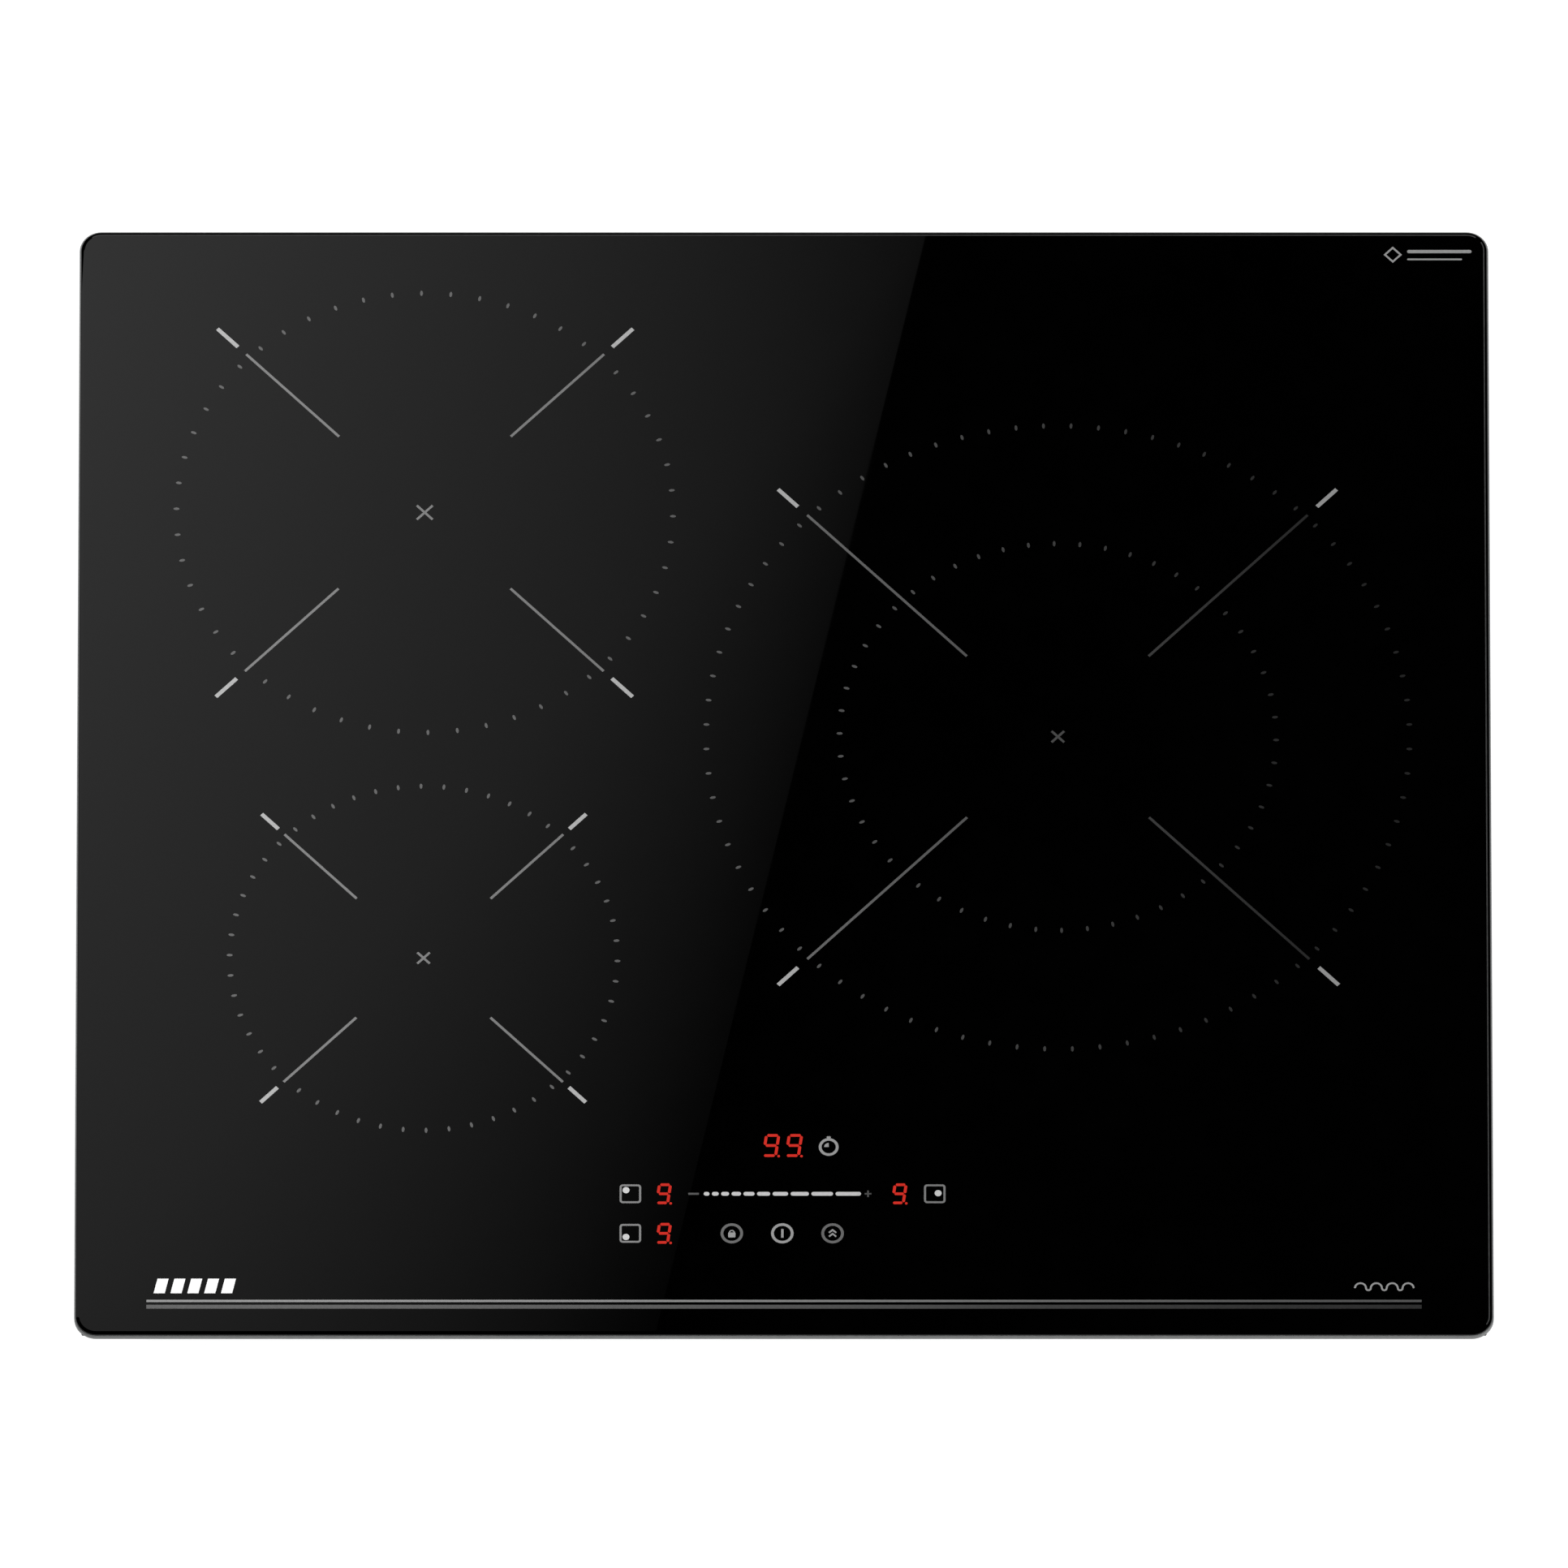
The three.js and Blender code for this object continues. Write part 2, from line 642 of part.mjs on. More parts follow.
function addBoardComponents() {
  const onBoard = boardTop + GAP;
  const ceiling = lowCeiling - 2;
  const sinkFace = heatsinkY[0] - GAP;
  const first = heatsinkX[0] + 8;
  const module = [first, first + 40];
  const bridge = [first + 52, first + 82];
  addPart('power_module', welded(box(module, [sinkFace - 6, sinkFace], [onBoard + 2, ceiling])), 'ferrite');
  addPart('bridge_rectifier', welded(box(bridge, [sinkFace - 5, sinkFace], [onBoard + 2, ceiling])), 'ferrite');
  const frontY = boardCentre.y - POWER_BOARD_DEPTH / 2;
  const block = roundedRectangle(42, 20, 2);
  const capacitor = prism(block, [onBoard, ceiling], 2).translate(first + 12, frontY + 42, 0);
  addPart('bus_capacitor', welded(capacitor), 'capacitor');
  const ring = [[7, onBoard], [17, onBoard], [17, onBoard + 14], [7, onBoard + 14]];
  addPart('filter_choke', welded(turned(ring, first + 82, frontY + 42, 20)), 'ferrite');
}

// ---------------------------------------------------------------- blower

function addIntakeGrille() {
  const z = [grilleBottom, grilleBottom + GRILLE_THICKNESS];
  const open = INTAKE_RADIUS - GRILLE_BAR;
  const step = GRILLE_SLOT + GRILLE_BAR;
  const rows = Math.floor((2 * open - GRILLE_SLOT) / step / 2);
  const slots = [];
  for (let i = -rows; i <= rows; i += 1) {
    const edge = Math.abs(i * step) + GRILLE_SLOT / 2;
    const reach = Math.sqrt(Math.max(open ** 2 - edge ** 2, 0));
    if (reach > GRILLE_SLOT) slots.push(...grilleSlots(i * step, reach, z));
  }
  const body = cut(solid(rod(fanCentre.x, fanCentre.y, GRILLE_RADIUS, z, 36)), slots);
  addPart('intake_grille', geometryOf(body), 'plastic');
}

// The two slots of one grille row, left and right of the middle bar.
function grilleSlots(row, reach, z) {
  const y = span(fanCentre.y + row, GRILLE_SLOT);
  const inner = GRILLE_BAR / 2;
  const through = [z[0] - 1, z[1] + 1];
  return [
    box([fanCentre.x - reach, fanCentre.x - inner], y, through),
    box([fanCentre.x + inner, fanCentre.x + reach], y, through),
  ];
}

function addFanHousing() {
  const { x, y } = fanCentre;
  const rotorSpace = FAN_ROTOR_RADIUS + FAN_ROTOR_CLEARANCE;
  const shell = roundedRectangle(FAN_SIZE, FAN_SIZE, 6);
  const outer = solid(prism(shell, [fanBottom, fanTop], 3).translate(x, y, 0));
  const floor = fanBottom + FAN_WALL;
  const roof = fanTop - FAN_WALL;
  const body = cut(outer, [
    rod(x, y, rotorSpace, [floor, roof], 32),
    rod(x, y, INTAKE_RADIUS - FAN_WALL, [fanBottom - 1, floor + 1], 32),
    box([x, x + FAN_SIZE], [y - heatsinkWidth / 2 + 3, y + rotorSpace * 0.55], [floor, roof]),
  ]);
  const pin = rod(x, y, FAN_PIN_RADIUS, [floor + 6, roof + FAN_WALL / 2], 12);
  addPart('fan_housing', geometryOf(body.add(solid(pin))), 'plastic');
}

// Impeller: a hub that turns on the housing's pin, a back disc and a ring of blades.
function addFanRotor() {
  const { x, y } = fanCentre;
  const bottom = fanBottom + FAN_WALL + 2;
  const top = fanTop - FAN_WALL - 1.5;
  const disc = top - 1.4;
  const bore = FAN_PIN_RADIUS + GAP;
  const hub = turned([[bore, bottom + 2], [FAN_HUB_RADIUS, bottom + 5], [FAN_HUB_RADIUS, disc],
    [FAN_ROTOR_RADIUS, disc], [FAN_ROTOR_RADIUS, top], [bore, top]], x, y, 30);
  const bodies = [hub];
  for (let i = 0; i < FAN_BLADES; i += 1) {
    const reach = FAN_ROTOR_RADIUS - FAN_BLADE_LENGTH / 2 - 1;
    const blade = box(span(reach, FAN_BLADE_LENGTH), span(0, FAN_BLADE_THICKNESS), [bottom, disc + 0.7]);
    blade.rotateZ((2 * Math.PI * i) / FAN_BLADES).translate(x, y, 0);
    bodies.push(blade);
  }
  addPart('fan_rotor', geometryOf(joined(bodies)), 'plastic');
}

// Channel that leads the blower's air over the board and into the heatsink.
function addAirDuct() {
  const { x, y } = fanCentre;
  const start = x + FAN_SIZE / 2 + GAP;
  const width = heatsinkWidth / 2 + 3;
  const low = boardTop + GAP;
  const high = fanTop + 1;
  const outline = [
    [y - width, low],
    [y - width, high],
    [y + width, high],
    [y + width, low],
    [y + width - DUCT_WALL, low],
    [y + width - DUCT_WALL, high - DUCT_WALL],
    [y - width + DUCT_WALL, high - DUCT_WALL],
    [y - width + DUCT_WALL, low],
  ];
  addPart('air_duct', welded(sweptX(shapeOf(outline), [start, start + DUCT_LENGTH])), 'plastic');
}

// ---------------------------------------------------------------- control unit

function addControlCarrier() {
  const halfWidth = CONTROL_WIDTH / 2;
  const middleY = (controlFront + controlRear) / 2;
  const outer = box([-halfWidth, halfWidth], [controlFront, controlRear], [controlBottom, controlTop]);
  const inner = box(
    [-halfWidth + CONTROL_WALL, halfWidth - CONTROL_WALL],
    [controlFront + CONTROL_WALL, controlRear - CONTROL_WALL],
    [controlBottom + CONTROL_WALL, controlTop + 1],
  );
  const extras = [];
  for (const sideX of [-1, 1]) {
    for (const sideY of [-1, 1]) {
      const x = sideX * (halfWidth - 10);
      const y = middleY + sideY * (CONTROL_DEPTH / 2 - 10);
      extras.push(box(span(x, CONTROL_LEG), span(y, CONTROL_LEG), [WALL + GAP, controlBottom + 0.5]));
      extras.push(rod(x, y, 2, [controlBottom + 0.5, controlBoardBottom - GAP], 8));
    }
  }
  const body = cut(solid(outer), [inner]).add(joined(extras));
  addPart('control_carrier', geometryOf(body), 'plastic');
}

function controlBoardSpan() {
  const inset = CONTROL_WALL + CONTROL_BOARD_MARGIN;
  return {
    x: [-CONTROL_WIDTH / 2 + inset, CONTROL_WIDTH / 2 - inset],
    y: [controlFront + inset, controlRear - inset],
  };
}

function addControlBoard() {
  const { x, y } = controlBoardSpan();
  addPart('control_board', welded(box(x, y, [controlBoardBottom, controlBoardTop])), 'board');
}

// Opaque frame on the control board that keeps each digit's and key's light apart.
function addLightGuide() {
  const { x, y } = controlBoardSpan();
  const z = [controlBoardTop + GAP, glassBottom - GAP];
  const through = [z[0] - 1, z[1] + 1];
  const digit = (middleX, middleY, count = 1) => box(
    span(middleX, DIGIT_WIDTH * count),
    span(middleY, DIGIT_HEIGHT),
    through,
  );
  const windows = [
    digit(0, controlRows.timer, 2),
    digit(digitColumns.left, controlRows.upper),
    digit(digitColumns.left, controlRows.lower),
    digit(digitColumns.right, controlRows.upper),
    box([-34, 33], span(controlRows.upper, 4), through),
    ...[-21.5, -0.5, 20.5].map((keyX) => rod(keyX, controlRows.lower, 5.4, through, 12)),
    rod(18.8, controlRows.timer, 5.4, through, 12),
  ];
  const frame = box([x[0] + 1, x[1] - 1], [y[0] + 1, y[1] - 1], z);
  addPart('light_guide', geometryOf(cut(solid(frame), windows)), 'guide');
}

// ---------------------------------------------------------------- mains inlet

function addTerminalBlock() {
  const x = span(coverCentreX, TERMINAL_WIDTH);
  const rear = trayHalfDepth - TRAY_CHAMFER - TERMINAL_FROM_REAR;
  const floor = WALL + GAP;
  const steps = shapeOf([
    [rear - TERMINAL_DEPTH, floor],
    [rear, floor],
    [rear, floor + TERMINAL_HEIGHT * 0.45],
    [rear - TERMINAL_DEPTH * 0.25, floor + TERMINAL_HEIGHT],
    [rear - TERMINAL_DEPTH * 0.75, floor + TERMINAL_HEIGHT],
    [rear - TERMINAL_DEPTH, floor + TERMINAL_HEIGHT * 0.45],
  ]);
  addPart('terminal_block', welded(sweptX(steps, x)), 'guide');
}

function addTerminalCover() {
  const inner = trayHalfDepth + GAP;
  const face = inner + COVER_THICKNESS;
  const window = [windowBottom, windowBottom + WINDOW_HEIGHT];
  const lapped = (range, lap) => [range[0] - lap, range[1] + lap];
  const x = span(coverCentreX, WINDOW_WIDTH);
  const plate = box(lapped(x, COVER_LAP), [inner, face], lapped(window, COVER_LAP - 1));
  const pan = box(x, [inner, face + COVER_BULGE], window);
  const hollow = box(
    lapped(x, -COVER_THICKNESS),
    [inner - 1, face + COVER_BULGE - COVER_THICKNESS],
    lapped(window, -COVER_THICKNESS),
  );
  addPart('terminal_cover', geometryOf(cut(joined([plate, pan]), [hollow])), 'plastic');
}

// Rubber bush with a flange each side of the rear wall.
function addCableGrommet() {
  const outside = trayHalfDepth + GAP;
  const inside = trayHalfDepth - WALL - GAP;
  const outline = [
    [GROMMET_BORE_RADIUS, inside - GROMMET_FLANGE_THICKNESS],
    [GROMMET_FLANGE_RADIUS, inside - GROMMET_FLANGE_THICKNESS],
    [GROMMET_FLANGE_RADIUS, inside],
    [GROMMET_NECK_RADIUS, inside],
    [GROMMET_NECK_RADIUS, outside],
    [GROMMET_FLANGE_RADIUS, outside],
    [GROMMET_FLANGE_RADIUS - 1.5, outside + GROMMET_FLANGE_THICKNESS],
    [GROMMET_BORE_RADIUS, outside + GROMMET_FLANGE_THICKNESS],
  ];
  const geometry = turned(outline, 0, 0, 16).rotateX(-Math.PI / 2).translate(grommetX, 0, grommetZ);
  addPart('cable_grommet', welded(geometry), 'seal');
}

// ---------------------------------------------------------------- retaining clips

// Outer face of the blade, as (distance from the casing wall, height), from its foot to its tip.
function bladeLine() {
  const start = clipFootTop + GAP;
  const bellyZ = start + CLIP_RISE * CLIP_BELLY_SHARE;
  const tipZ = start + CLIP_RISE;
  const root = GAP + CLIP_ROOT_FLARE + CLIP_THICKNESS;
  return new THREE.SplineCurve([
    new THREE.Vector2(root, start),
    new THREE.Vector2(root + (CLIP_BELLY - root) * 0.55, start + (bellyZ - start) * 0.5),
    new THREE.Vector2(CLIP_BELLY, bellyZ),
    new THREE.Vector2(CLIP_TIP, tipZ),
  ]).getPoints(12);
}

function addClip(name, side, y) {
  const wallX = side * trayHalfWidth;
  const foot = [wallX + side * GAP, wallX + side * (GAP + CLIP_THICKNESS)].sort((p, q) => p - q);
  const width = span(y, CLIP_WIDTH);
  addPart(`clip_foot_${name}`, welded(box(foot, width, [CLIP_FOOT_BOTTOM, clipFootTop])), 'spring');
  const outerFace = bladeLine();
  const innerFace = outerFace.map((point) => new THREE.Vector2(point.x - CLIP_THICKNESS, point.y));
  const outline = [...outerFace, ...innerFace.reverse()].map((point) => [wallX + side * point.x, point.y]);
  addPart(`clip_blade_${name}`, welded(sweptY(shapeOf(outline), width)), 'spring');
}

function addClips() {
  for (const [row, sideY] of [['front', -1], ['rear', 1]]) {
    for (const [column, sideX] of [['left', -1], ['right', 1]]) {
      addClip(`${column}_${row}`, sideX, sideY * clipY);
    }
  }
}

// ---------------------------------------------------------------- assembly

addGlassPanel();
addSeals();
addRails();
addCasingTray();
for (const [name, zone] of Object.entries(ZONES)) {
  addCoilAssembly(name, zone);
}
addPowerBoard();
addHeatsink();
addBoardComponents();
addIntakeGrille();
addFanHousing();
addFanRotor();
addAirDuct();
addControlCarrier();
addControlBoard();
addLightGuide();
addTerminalBlock();
addTerminalCover();
addCableGrommet();
addClips();

export default hob;
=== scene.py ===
"""Built-in induction hob: finishes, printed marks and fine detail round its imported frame.

Lengths are in millimetres unless a comment says metres; they become metres where a mesh is made.
"""

import json
from math import copysign, cos, pi, radians, sin, tan, tau

import bmesh
import bpy
from mathutils import Matrix, Quaternion, Vector

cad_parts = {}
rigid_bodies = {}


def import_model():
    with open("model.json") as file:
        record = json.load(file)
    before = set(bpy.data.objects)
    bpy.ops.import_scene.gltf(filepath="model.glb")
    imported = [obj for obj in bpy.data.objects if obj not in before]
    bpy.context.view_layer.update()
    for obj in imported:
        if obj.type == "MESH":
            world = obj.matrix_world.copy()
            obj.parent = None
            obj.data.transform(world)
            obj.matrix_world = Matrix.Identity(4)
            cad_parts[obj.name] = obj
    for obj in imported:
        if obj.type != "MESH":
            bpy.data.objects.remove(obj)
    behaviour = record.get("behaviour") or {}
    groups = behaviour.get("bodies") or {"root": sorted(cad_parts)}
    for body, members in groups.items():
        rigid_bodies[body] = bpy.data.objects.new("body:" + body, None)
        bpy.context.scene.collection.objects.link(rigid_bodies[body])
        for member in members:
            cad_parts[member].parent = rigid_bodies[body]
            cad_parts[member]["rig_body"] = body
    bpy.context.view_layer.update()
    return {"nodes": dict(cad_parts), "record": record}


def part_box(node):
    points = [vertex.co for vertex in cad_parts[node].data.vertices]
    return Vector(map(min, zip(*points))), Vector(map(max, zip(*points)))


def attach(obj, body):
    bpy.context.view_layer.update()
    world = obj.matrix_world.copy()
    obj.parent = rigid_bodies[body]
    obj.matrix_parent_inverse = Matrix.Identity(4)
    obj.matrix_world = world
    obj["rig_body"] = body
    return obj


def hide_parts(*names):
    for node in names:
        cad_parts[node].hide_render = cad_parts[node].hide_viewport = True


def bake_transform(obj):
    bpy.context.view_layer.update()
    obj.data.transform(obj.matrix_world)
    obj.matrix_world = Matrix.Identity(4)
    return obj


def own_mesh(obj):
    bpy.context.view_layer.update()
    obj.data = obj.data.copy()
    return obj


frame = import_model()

MM = 0.001


# ---------------------------------------------------------------- places from the frame

def box(node):
    """Lowest and highest corners of a frame node, in millimetres."""
    low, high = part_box(node)
    return low / MM, high / MM


def middle(node):
    low, high = box(node)
    return (low + high) / 2


def zone_centre(coil):
    return middle("coil_carrier_" + coil).to_2d()


GLASS_LOW, GLASS_HIGH = box("glass_panel")
FRONT_EDGE = GLASS_LOW.y
CLIPS = ("left_front", "left_rear", "right_front", "right_rear")
COILS = {
    "left_rear": ["winding_left_rear"],
    "left_front": ["winding_left_front"],
    "right": ["winding_right_inner", "winding_right_outer"],
}


# ---------------------------------------------------------------- small helpers

def in_scene(name, data):
    thing = bpy.data.objects.new(name, data)
    bpy.context.scene.collection.objects.link(thing)
    return thing


def rgba(tone):
    """Opaque colour from a grey level or from three channels."""
    return (*tone, 1) if isinstance(tone, tuple) else (tone, tone, tone, 1)


def feed(tree, node, inputs):
    """Puts a value or a link on each input; a node stands for its first open output."""
    for label, value in inputs.items():
        if isinstance(value, bpy.types.Node):
            value = next(socket for socket in value.outputs if socket.enabled)
        if isinstance(value, bpy.types.NodeSocket):
            tree.links.new(value, node.inputs[label])
        else:
            node.inputs[label].default_value = value


def wired(tree, kind, inputs=None, **settings):
    """New node with its settings and its inputs."""
    node = tree.nodes.new(kind)
    for setting, value in settings.items():
        setattr(node, setting, value)
    feed(tree, node, inputs or {})
    return node


def maths(tree, operation, *values, clamp=False):
    return wired(tree, "ShaderNodeMath", dict(enumerate(values)), operation=operation, use_clamp=clamp)


def new_tree(name, kind, inputs, output):
    """Node group with (label, kind, value) inputs and one (label, kind) output."""
    tree = bpy.data.node_groups.new(name, kind + "NodeTree")
    for label, socket_kind, *value in inputs:
        socket = tree.interface.new_socket(name=label, in_out="INPUT", socket_type="NodeSocket" + socket_kind)
        if value:
            socket.default_value = value[0]
    label, socket_kind = output
    tree.interface.new_socket(name=label, in_out="OUTPUT", socket_type="NodeSocket" + socket_kind)
    return tree, tree.nodes.new("NodeGroupInput").outputs, tree.nodes.new("NodeGroupOutput")


def new_material(name):
    material = bpy.data.materials.new(name)
    material.use_nodes = True
    return material, material.node_tree


# ---------------------------------------------------------------- camera and light

# Camera and staging lengths are in metres.
CAMERA_ELEVATION = radians(62.40)
CAMERA_LENS = 1600.0
CAMERA_CLIP = (1.0, 100.0)
SENSOR_WIDTH = 36.0
VIEW_WIDTH = 0.6542                      # width of the picture at the panel
VIEW_DROP = 0.0012                       # picture centre below the middle of the panel's top
PANEL_MIDDLE = Vector((0, 0, GLASS_HIGH.z * MM))
SOFT_LIGHT = 0.62                        # of the room on matt surfaces
BACKDROP = 1.1
# The room's band for gloss: brightness at each height, from the horizon to straight up.
ROOM_GLOSS = ((0.0, 0.62), (0.1, 0.38), (0.3, 0.13), (0.5, 0.04), (0.68, 0.0))
LAMP_SIZE = 1.4
LAMPS = (("key_lamp", (2.2, -1.35, 1.7), 81.0), ("rear_lamp", (-2.3, 1.2, 1.4), 63.0))
FLOOR_HALF = 40.0
FLOOR_LEVEL = -0.2 * MM                  # just under the casing, so that their faces don't coincide
FLOOR_LOOK = {"Base Color": rgba(0.3), "Roughness": 0.9, "Specular IOR Level": 0.1,
              "Emission Color": rgba(1), "Emission Strength": 0.8}


def add_camera():
    data = bpy.data.cameras.new("camera")
    data.lens, data.sensor_width = CAMERA_LENS, SENSOR_WIDTH
    data.clip_start, data.clip_end = CAMERA_CLIP
    camera = in_scene("camera", data)
    back = Vector((0, -cos(CAMERA_ELEVATION), sin(CAMERA_ELEVATION)))
    upward = Vector((0, sin(CAMERA_ELEVATION), cos(CAMERA_ELEVATION)))
    distance = VIEW_WIDTH * CAMERA_LENS / SENSOR_WIDTH
    camera.location = PANEL_MIDDLE - upward * VIEW_DROP + back * distance
    camera.rotation_euler = (pi / 2 - CAMERA_ELEVATION, 0, 0)
    bpy.context.scene.camera = camera


def add_world():
    """Pale room: white to the camera, soft to surfaces, and a low bright band for gloss."""
    world = bpy.data.worlds.new("studio")
    bpy.context.scene.world = world
    world.use_nodes = True
    tree = world.node_tree
    tree.nodes.clear()
    place = wired(tree, "ShaderNodeTexCoord").outputs["Generated"]
    split = wired(tree, "ShaderNodeSeparateXYZ", {0: place})
    band = wired(tree, "ShaderNodeValToRGB", {"Fac": split.outputs["Z"]})
    for height, _ in ROOM_GLOSS[2:]:
        band.color_ramp.elements.new(height)
    for element, (height, level) in zip(band.color_ramp.elements, ROOM_GLOSS):
        element.position, element.color = height, rgba(level)
    ray = wired(tree, "ShaderNodeLightPath").outputs
    soft, backdrop = (wired(tree, "ShaderNodeBackground", {"Color": rgba(1), "Strength": strength})
                      for strength in (SOFT_LIGHT, BACKDROP))
    gloss = wired(tree, "ShaderNodeBackground", {"Color": band})
    lit = wired(tree, "ShaderNodeMixShader", {0: ray["Is Glossy Ray"], 1: soft, 2: gloss})
    seen = wired(tree, "ShaderNodeMixShader", {0: ray["Is Camera Ray"], 1: lit, 2: backdrop})
    wired(tree, "ShaderNodeOutputWorld", {"Surface": seen})


def add_soft_lamps():
    """Two soft lamps that shape the casing's sides; the glass doesn't mirror them."""
    for name, place, power in LAMPS:
        data = bpy.data.lights.new(name, "AREA")
        data.size, data.energy = LAMP_SIZE, power
        lamp = in_scene(name, data)
        lamp.location = place
        lamp.rotation_euler = Vector(place).to_track_quat("Z", "Y").to_euler()
        lamp.visible_glossy = lamp.visible_camera = False


def staged(mesh, name, material):
    piece = in_scene(name, mesh)
    mesh.materials.append(material)
    return piece


def add_floor():
    """Pale floor that glows a little, so that the panel casts no hard shadow on it."""
    mesh = bpy.data.meshes.new("floor")
    corners = [(x * FLOOR_HALF, y * FLOOR_HALF, FLOOR_LEVEL) for x, y in ((-1, -1), (1, -1), (1, 1), (-1, 1))]
    mesh.from_pydata(corners, [], [(0, 1, 2, 3)])
    material, tree = new_material("pale_floor")
    feed(tree, tree.nodes["Principled BSDF"], FLOOR_LOOK)
    staged(mesh, "floor", material)


# The window-like reflection in the glass: its slanted edge crosses the panel from the rear
# edge to the front edge. Offsets are from the panel's middle, in metres.
REFLECTION_REAR_X = 0.0599
REFLECTION_FRONT_X = -0.0535
REFLECTION_DISTANCE = 1.1
REFLECTION_SPILL = 1.04                  # card's reach past the panel's front and rear edges
REFLECTION_SIDE = 1.06                   # and past its left edge
REFLECTION_WING = 0.45                   # even part beyond that, for the panel's bevel
REFLECTION_NEAR = (0.02, 0.09)           # card brightness at the slanted edge, front and rear
REFLECTION_FAR = (0.365, 0.76)           # and at its far side


def add_reflection_card():
    """Glowing card that only reflections see, square to the mirrored line of sight."""
    toward = Vector((0, cos(CAMERA_ELEVATION), sin(CAMERA_ELEVATION)))
    rearward = toward.cross(Vector((1, 0, 0)))
    origin = PANEL_MIDDLE + toward * REFLECTION_DISTANCE
    reach = (GLASS_HIGH.y - GLASS_LOW.y) / 2 * MM * sin(CAMERA_ELEVATION)
    slope = (REFLECTION_REAR_X - REFLECTION_FRONT_X) / (2 * reach)
    centre_x = (REFLECTION_REAR_X + REFLECTION_FRONT_X) / 2
    rear, left = REFLECTION_SPILL * reach, GLASS_LOW.x * MM * REFLECTION_SIDE
    far = left - REFLECTION_WING
    corners = ((left, -rear), (centre_x - slope * rear, -rear), (centre_x + slope * rear, rear), (left, rear),
               (far, rear), (far, -rear))
    mesh = bpy.data.meshes.new("reflection_card")
    mesh.from_pydata([tuple(origin + Vector((x, 0, 0)) + rearward * y) for x, y in corners], [],
                     [(0, 1, 2, 3), (0, 3, 4, 5)])
    card_uv = ((1, 0), (0, 0), (0, 1), (1, 1), (1, 0), (1, 1), (1, 1), (1, 0))
    for loop, uv in zip(mesh.uv_layers.new(name="reach").data, card_uv):
        loop.uv = uv
    material, tree = new_material("reflection_glow")
    tree.nodes.clear()
    split = wired(tree, "ShaderNodeSeparateXYZ", {0: wired(tree, "ShaderNodeUVMap", uv_map="reach")}).outputs
    near, far_side = (wired(tree, "ShaderNodeMapRange", {"Value": split["Y"], "To Min": front, "To Max": back})
                      for front, back in (REFLECTION_NEAR, REFLECTION_FAR))
    blend = wired(tree, "ShaderNodeMix", {"Factor": split["X"], "A": near, "B": far_side})
    glow = wired(tree, "ShaderNodeEmission", {"Strength": blend})
    wired(tree, "ShaderNodeOutputMaterial", {"Surface": glow})
    card = staged(mesh, "reflection_card", material)
    card.visible_camera = card.visible_diffuse = card.visible_shadow = card.visible_transmission = False


# ---------------------------------------------------------------- shader groups

def pattern_tree(name, scale, second, amount=1.0, output="Value"):
    """Shader group with two number inputs and one output, and its Object coordinates."""
    tree, entry, leave = new_tree(name, "Shader", [("Scale", "Float", scale), (second, "Float", amount)],
                                  (output, "Float"))
    return tree, entry, leave, wired(tree, "ShaderNodeTexCoord").outputs["Object"]


def contrasted(tree, value, usual, contrast):
    """Value spread about its usual level, which becomes 0.5."""
    spread = maths(tree, "MULTIPLY", maths(tree, "SUBTRACT", value, usual), contrast)
    return maths(tree, "ADD", spread, 0.5, clamp=True)


def make_mottle_group():
    """Cloudy variation in two sizes."""
    tree, entry, leave, place = pattern_tree("mottle", 60.0, "Contrast")
    large = wired(tree, "ShaderNodeTexNoise", {"Vector": place, "Scale": entry["Scale"]})
    finer = maths(tree, "MULTIPLY", entry["Scale"], 7.3)
    small = wired(tree, "ShaderNodeTexNoise", {"Vector": place, "Scale": finer, "Detail": 4.0})
    total = maths(tree, "ADD", large, small)
    feed(tree, leave, {"Value": contrasted(tree, total, 1.0, entry["Contrast"])})
    return tree


def make_spangle_group():
    """Crystal patches of hot-dip zinc, each with its own tone, over fine rolling lines."""
    tree, entry, leave, place = pattern_tree("spangle", 110.0, "Rolling", 0.3)
    crystal = wired(tree, "ShaderNodeTexVoronoi", {"Vector": place, "Scale": entry["Scale"]})
    tone = wired(tree, "ShaderNodeSeparateColor", {0: crystal.outputs["Color"]})
    stretch = wired(tree, "ShaderNodeMapping", {"Vector": place, "Scale": (2.0, 2.0, 160.0)})
    streak = wired(tree, "ShaderNodeTexNoise", {"Vector": stretch, "Scale": 12.0})
    blend = wired(tree, "ShaderNodeMix", {"Factor": entry["Rolling"], "A": tone.outputs["Red"], "B": streak})
    feed(tree, leave, {"Value": blend})
    return tree


def make_drawn_group():
    """Fine lines along X, as drawn or rolled metal has."""
    tree, entry, leave, place = pattern_tree("drawn_lines", 40.0, "Contrast")
    stretch = wired(tree, "ShaderNodeMapping", {"Vector": place, "Scale": (1.0, 90.0, 90.0)})
    streak = wired(tree, "ShaderNodeTexNoise", {"Vector": stretch, "Scale": entry["Scale"], "Detail": 5.0})
    feed(tree, leave, {"Value": contrasted(tree, streak, 0.5, entry["Contrast"])})
    return tree


def make_grain_group():
    """Fine surface height: moulded pits, cast grain or paper-like tooth."""
    tree, entry, leave, place = pattern_tree("grain", 2000.0, "Depth", output="Height")
    noise = wired(tree, "ShaderNodeTexNoise", {"Vector": place, "Scale": entry["Scale"], "Detail": 3.0})
    feed(tree, leave, {"Height": maths(tree, "MULTIPLY", noise, entry["Depth"])})
    return tree


PATTERNS = {"mottle": make_mottle_group(), "spangle": make_spangle_group(), "drawn": make_drawn_group()}
GRAIN = make_grain_group()
GRAIN_HEIGHT = 0.1 * MM
# Painted shade: across this span the prints darken from the panel's left edge towards its right edge.
PAINTED_FALLOFF_SPAN = (-0.253, 0.26)               # in metres, from the left edge towards the right


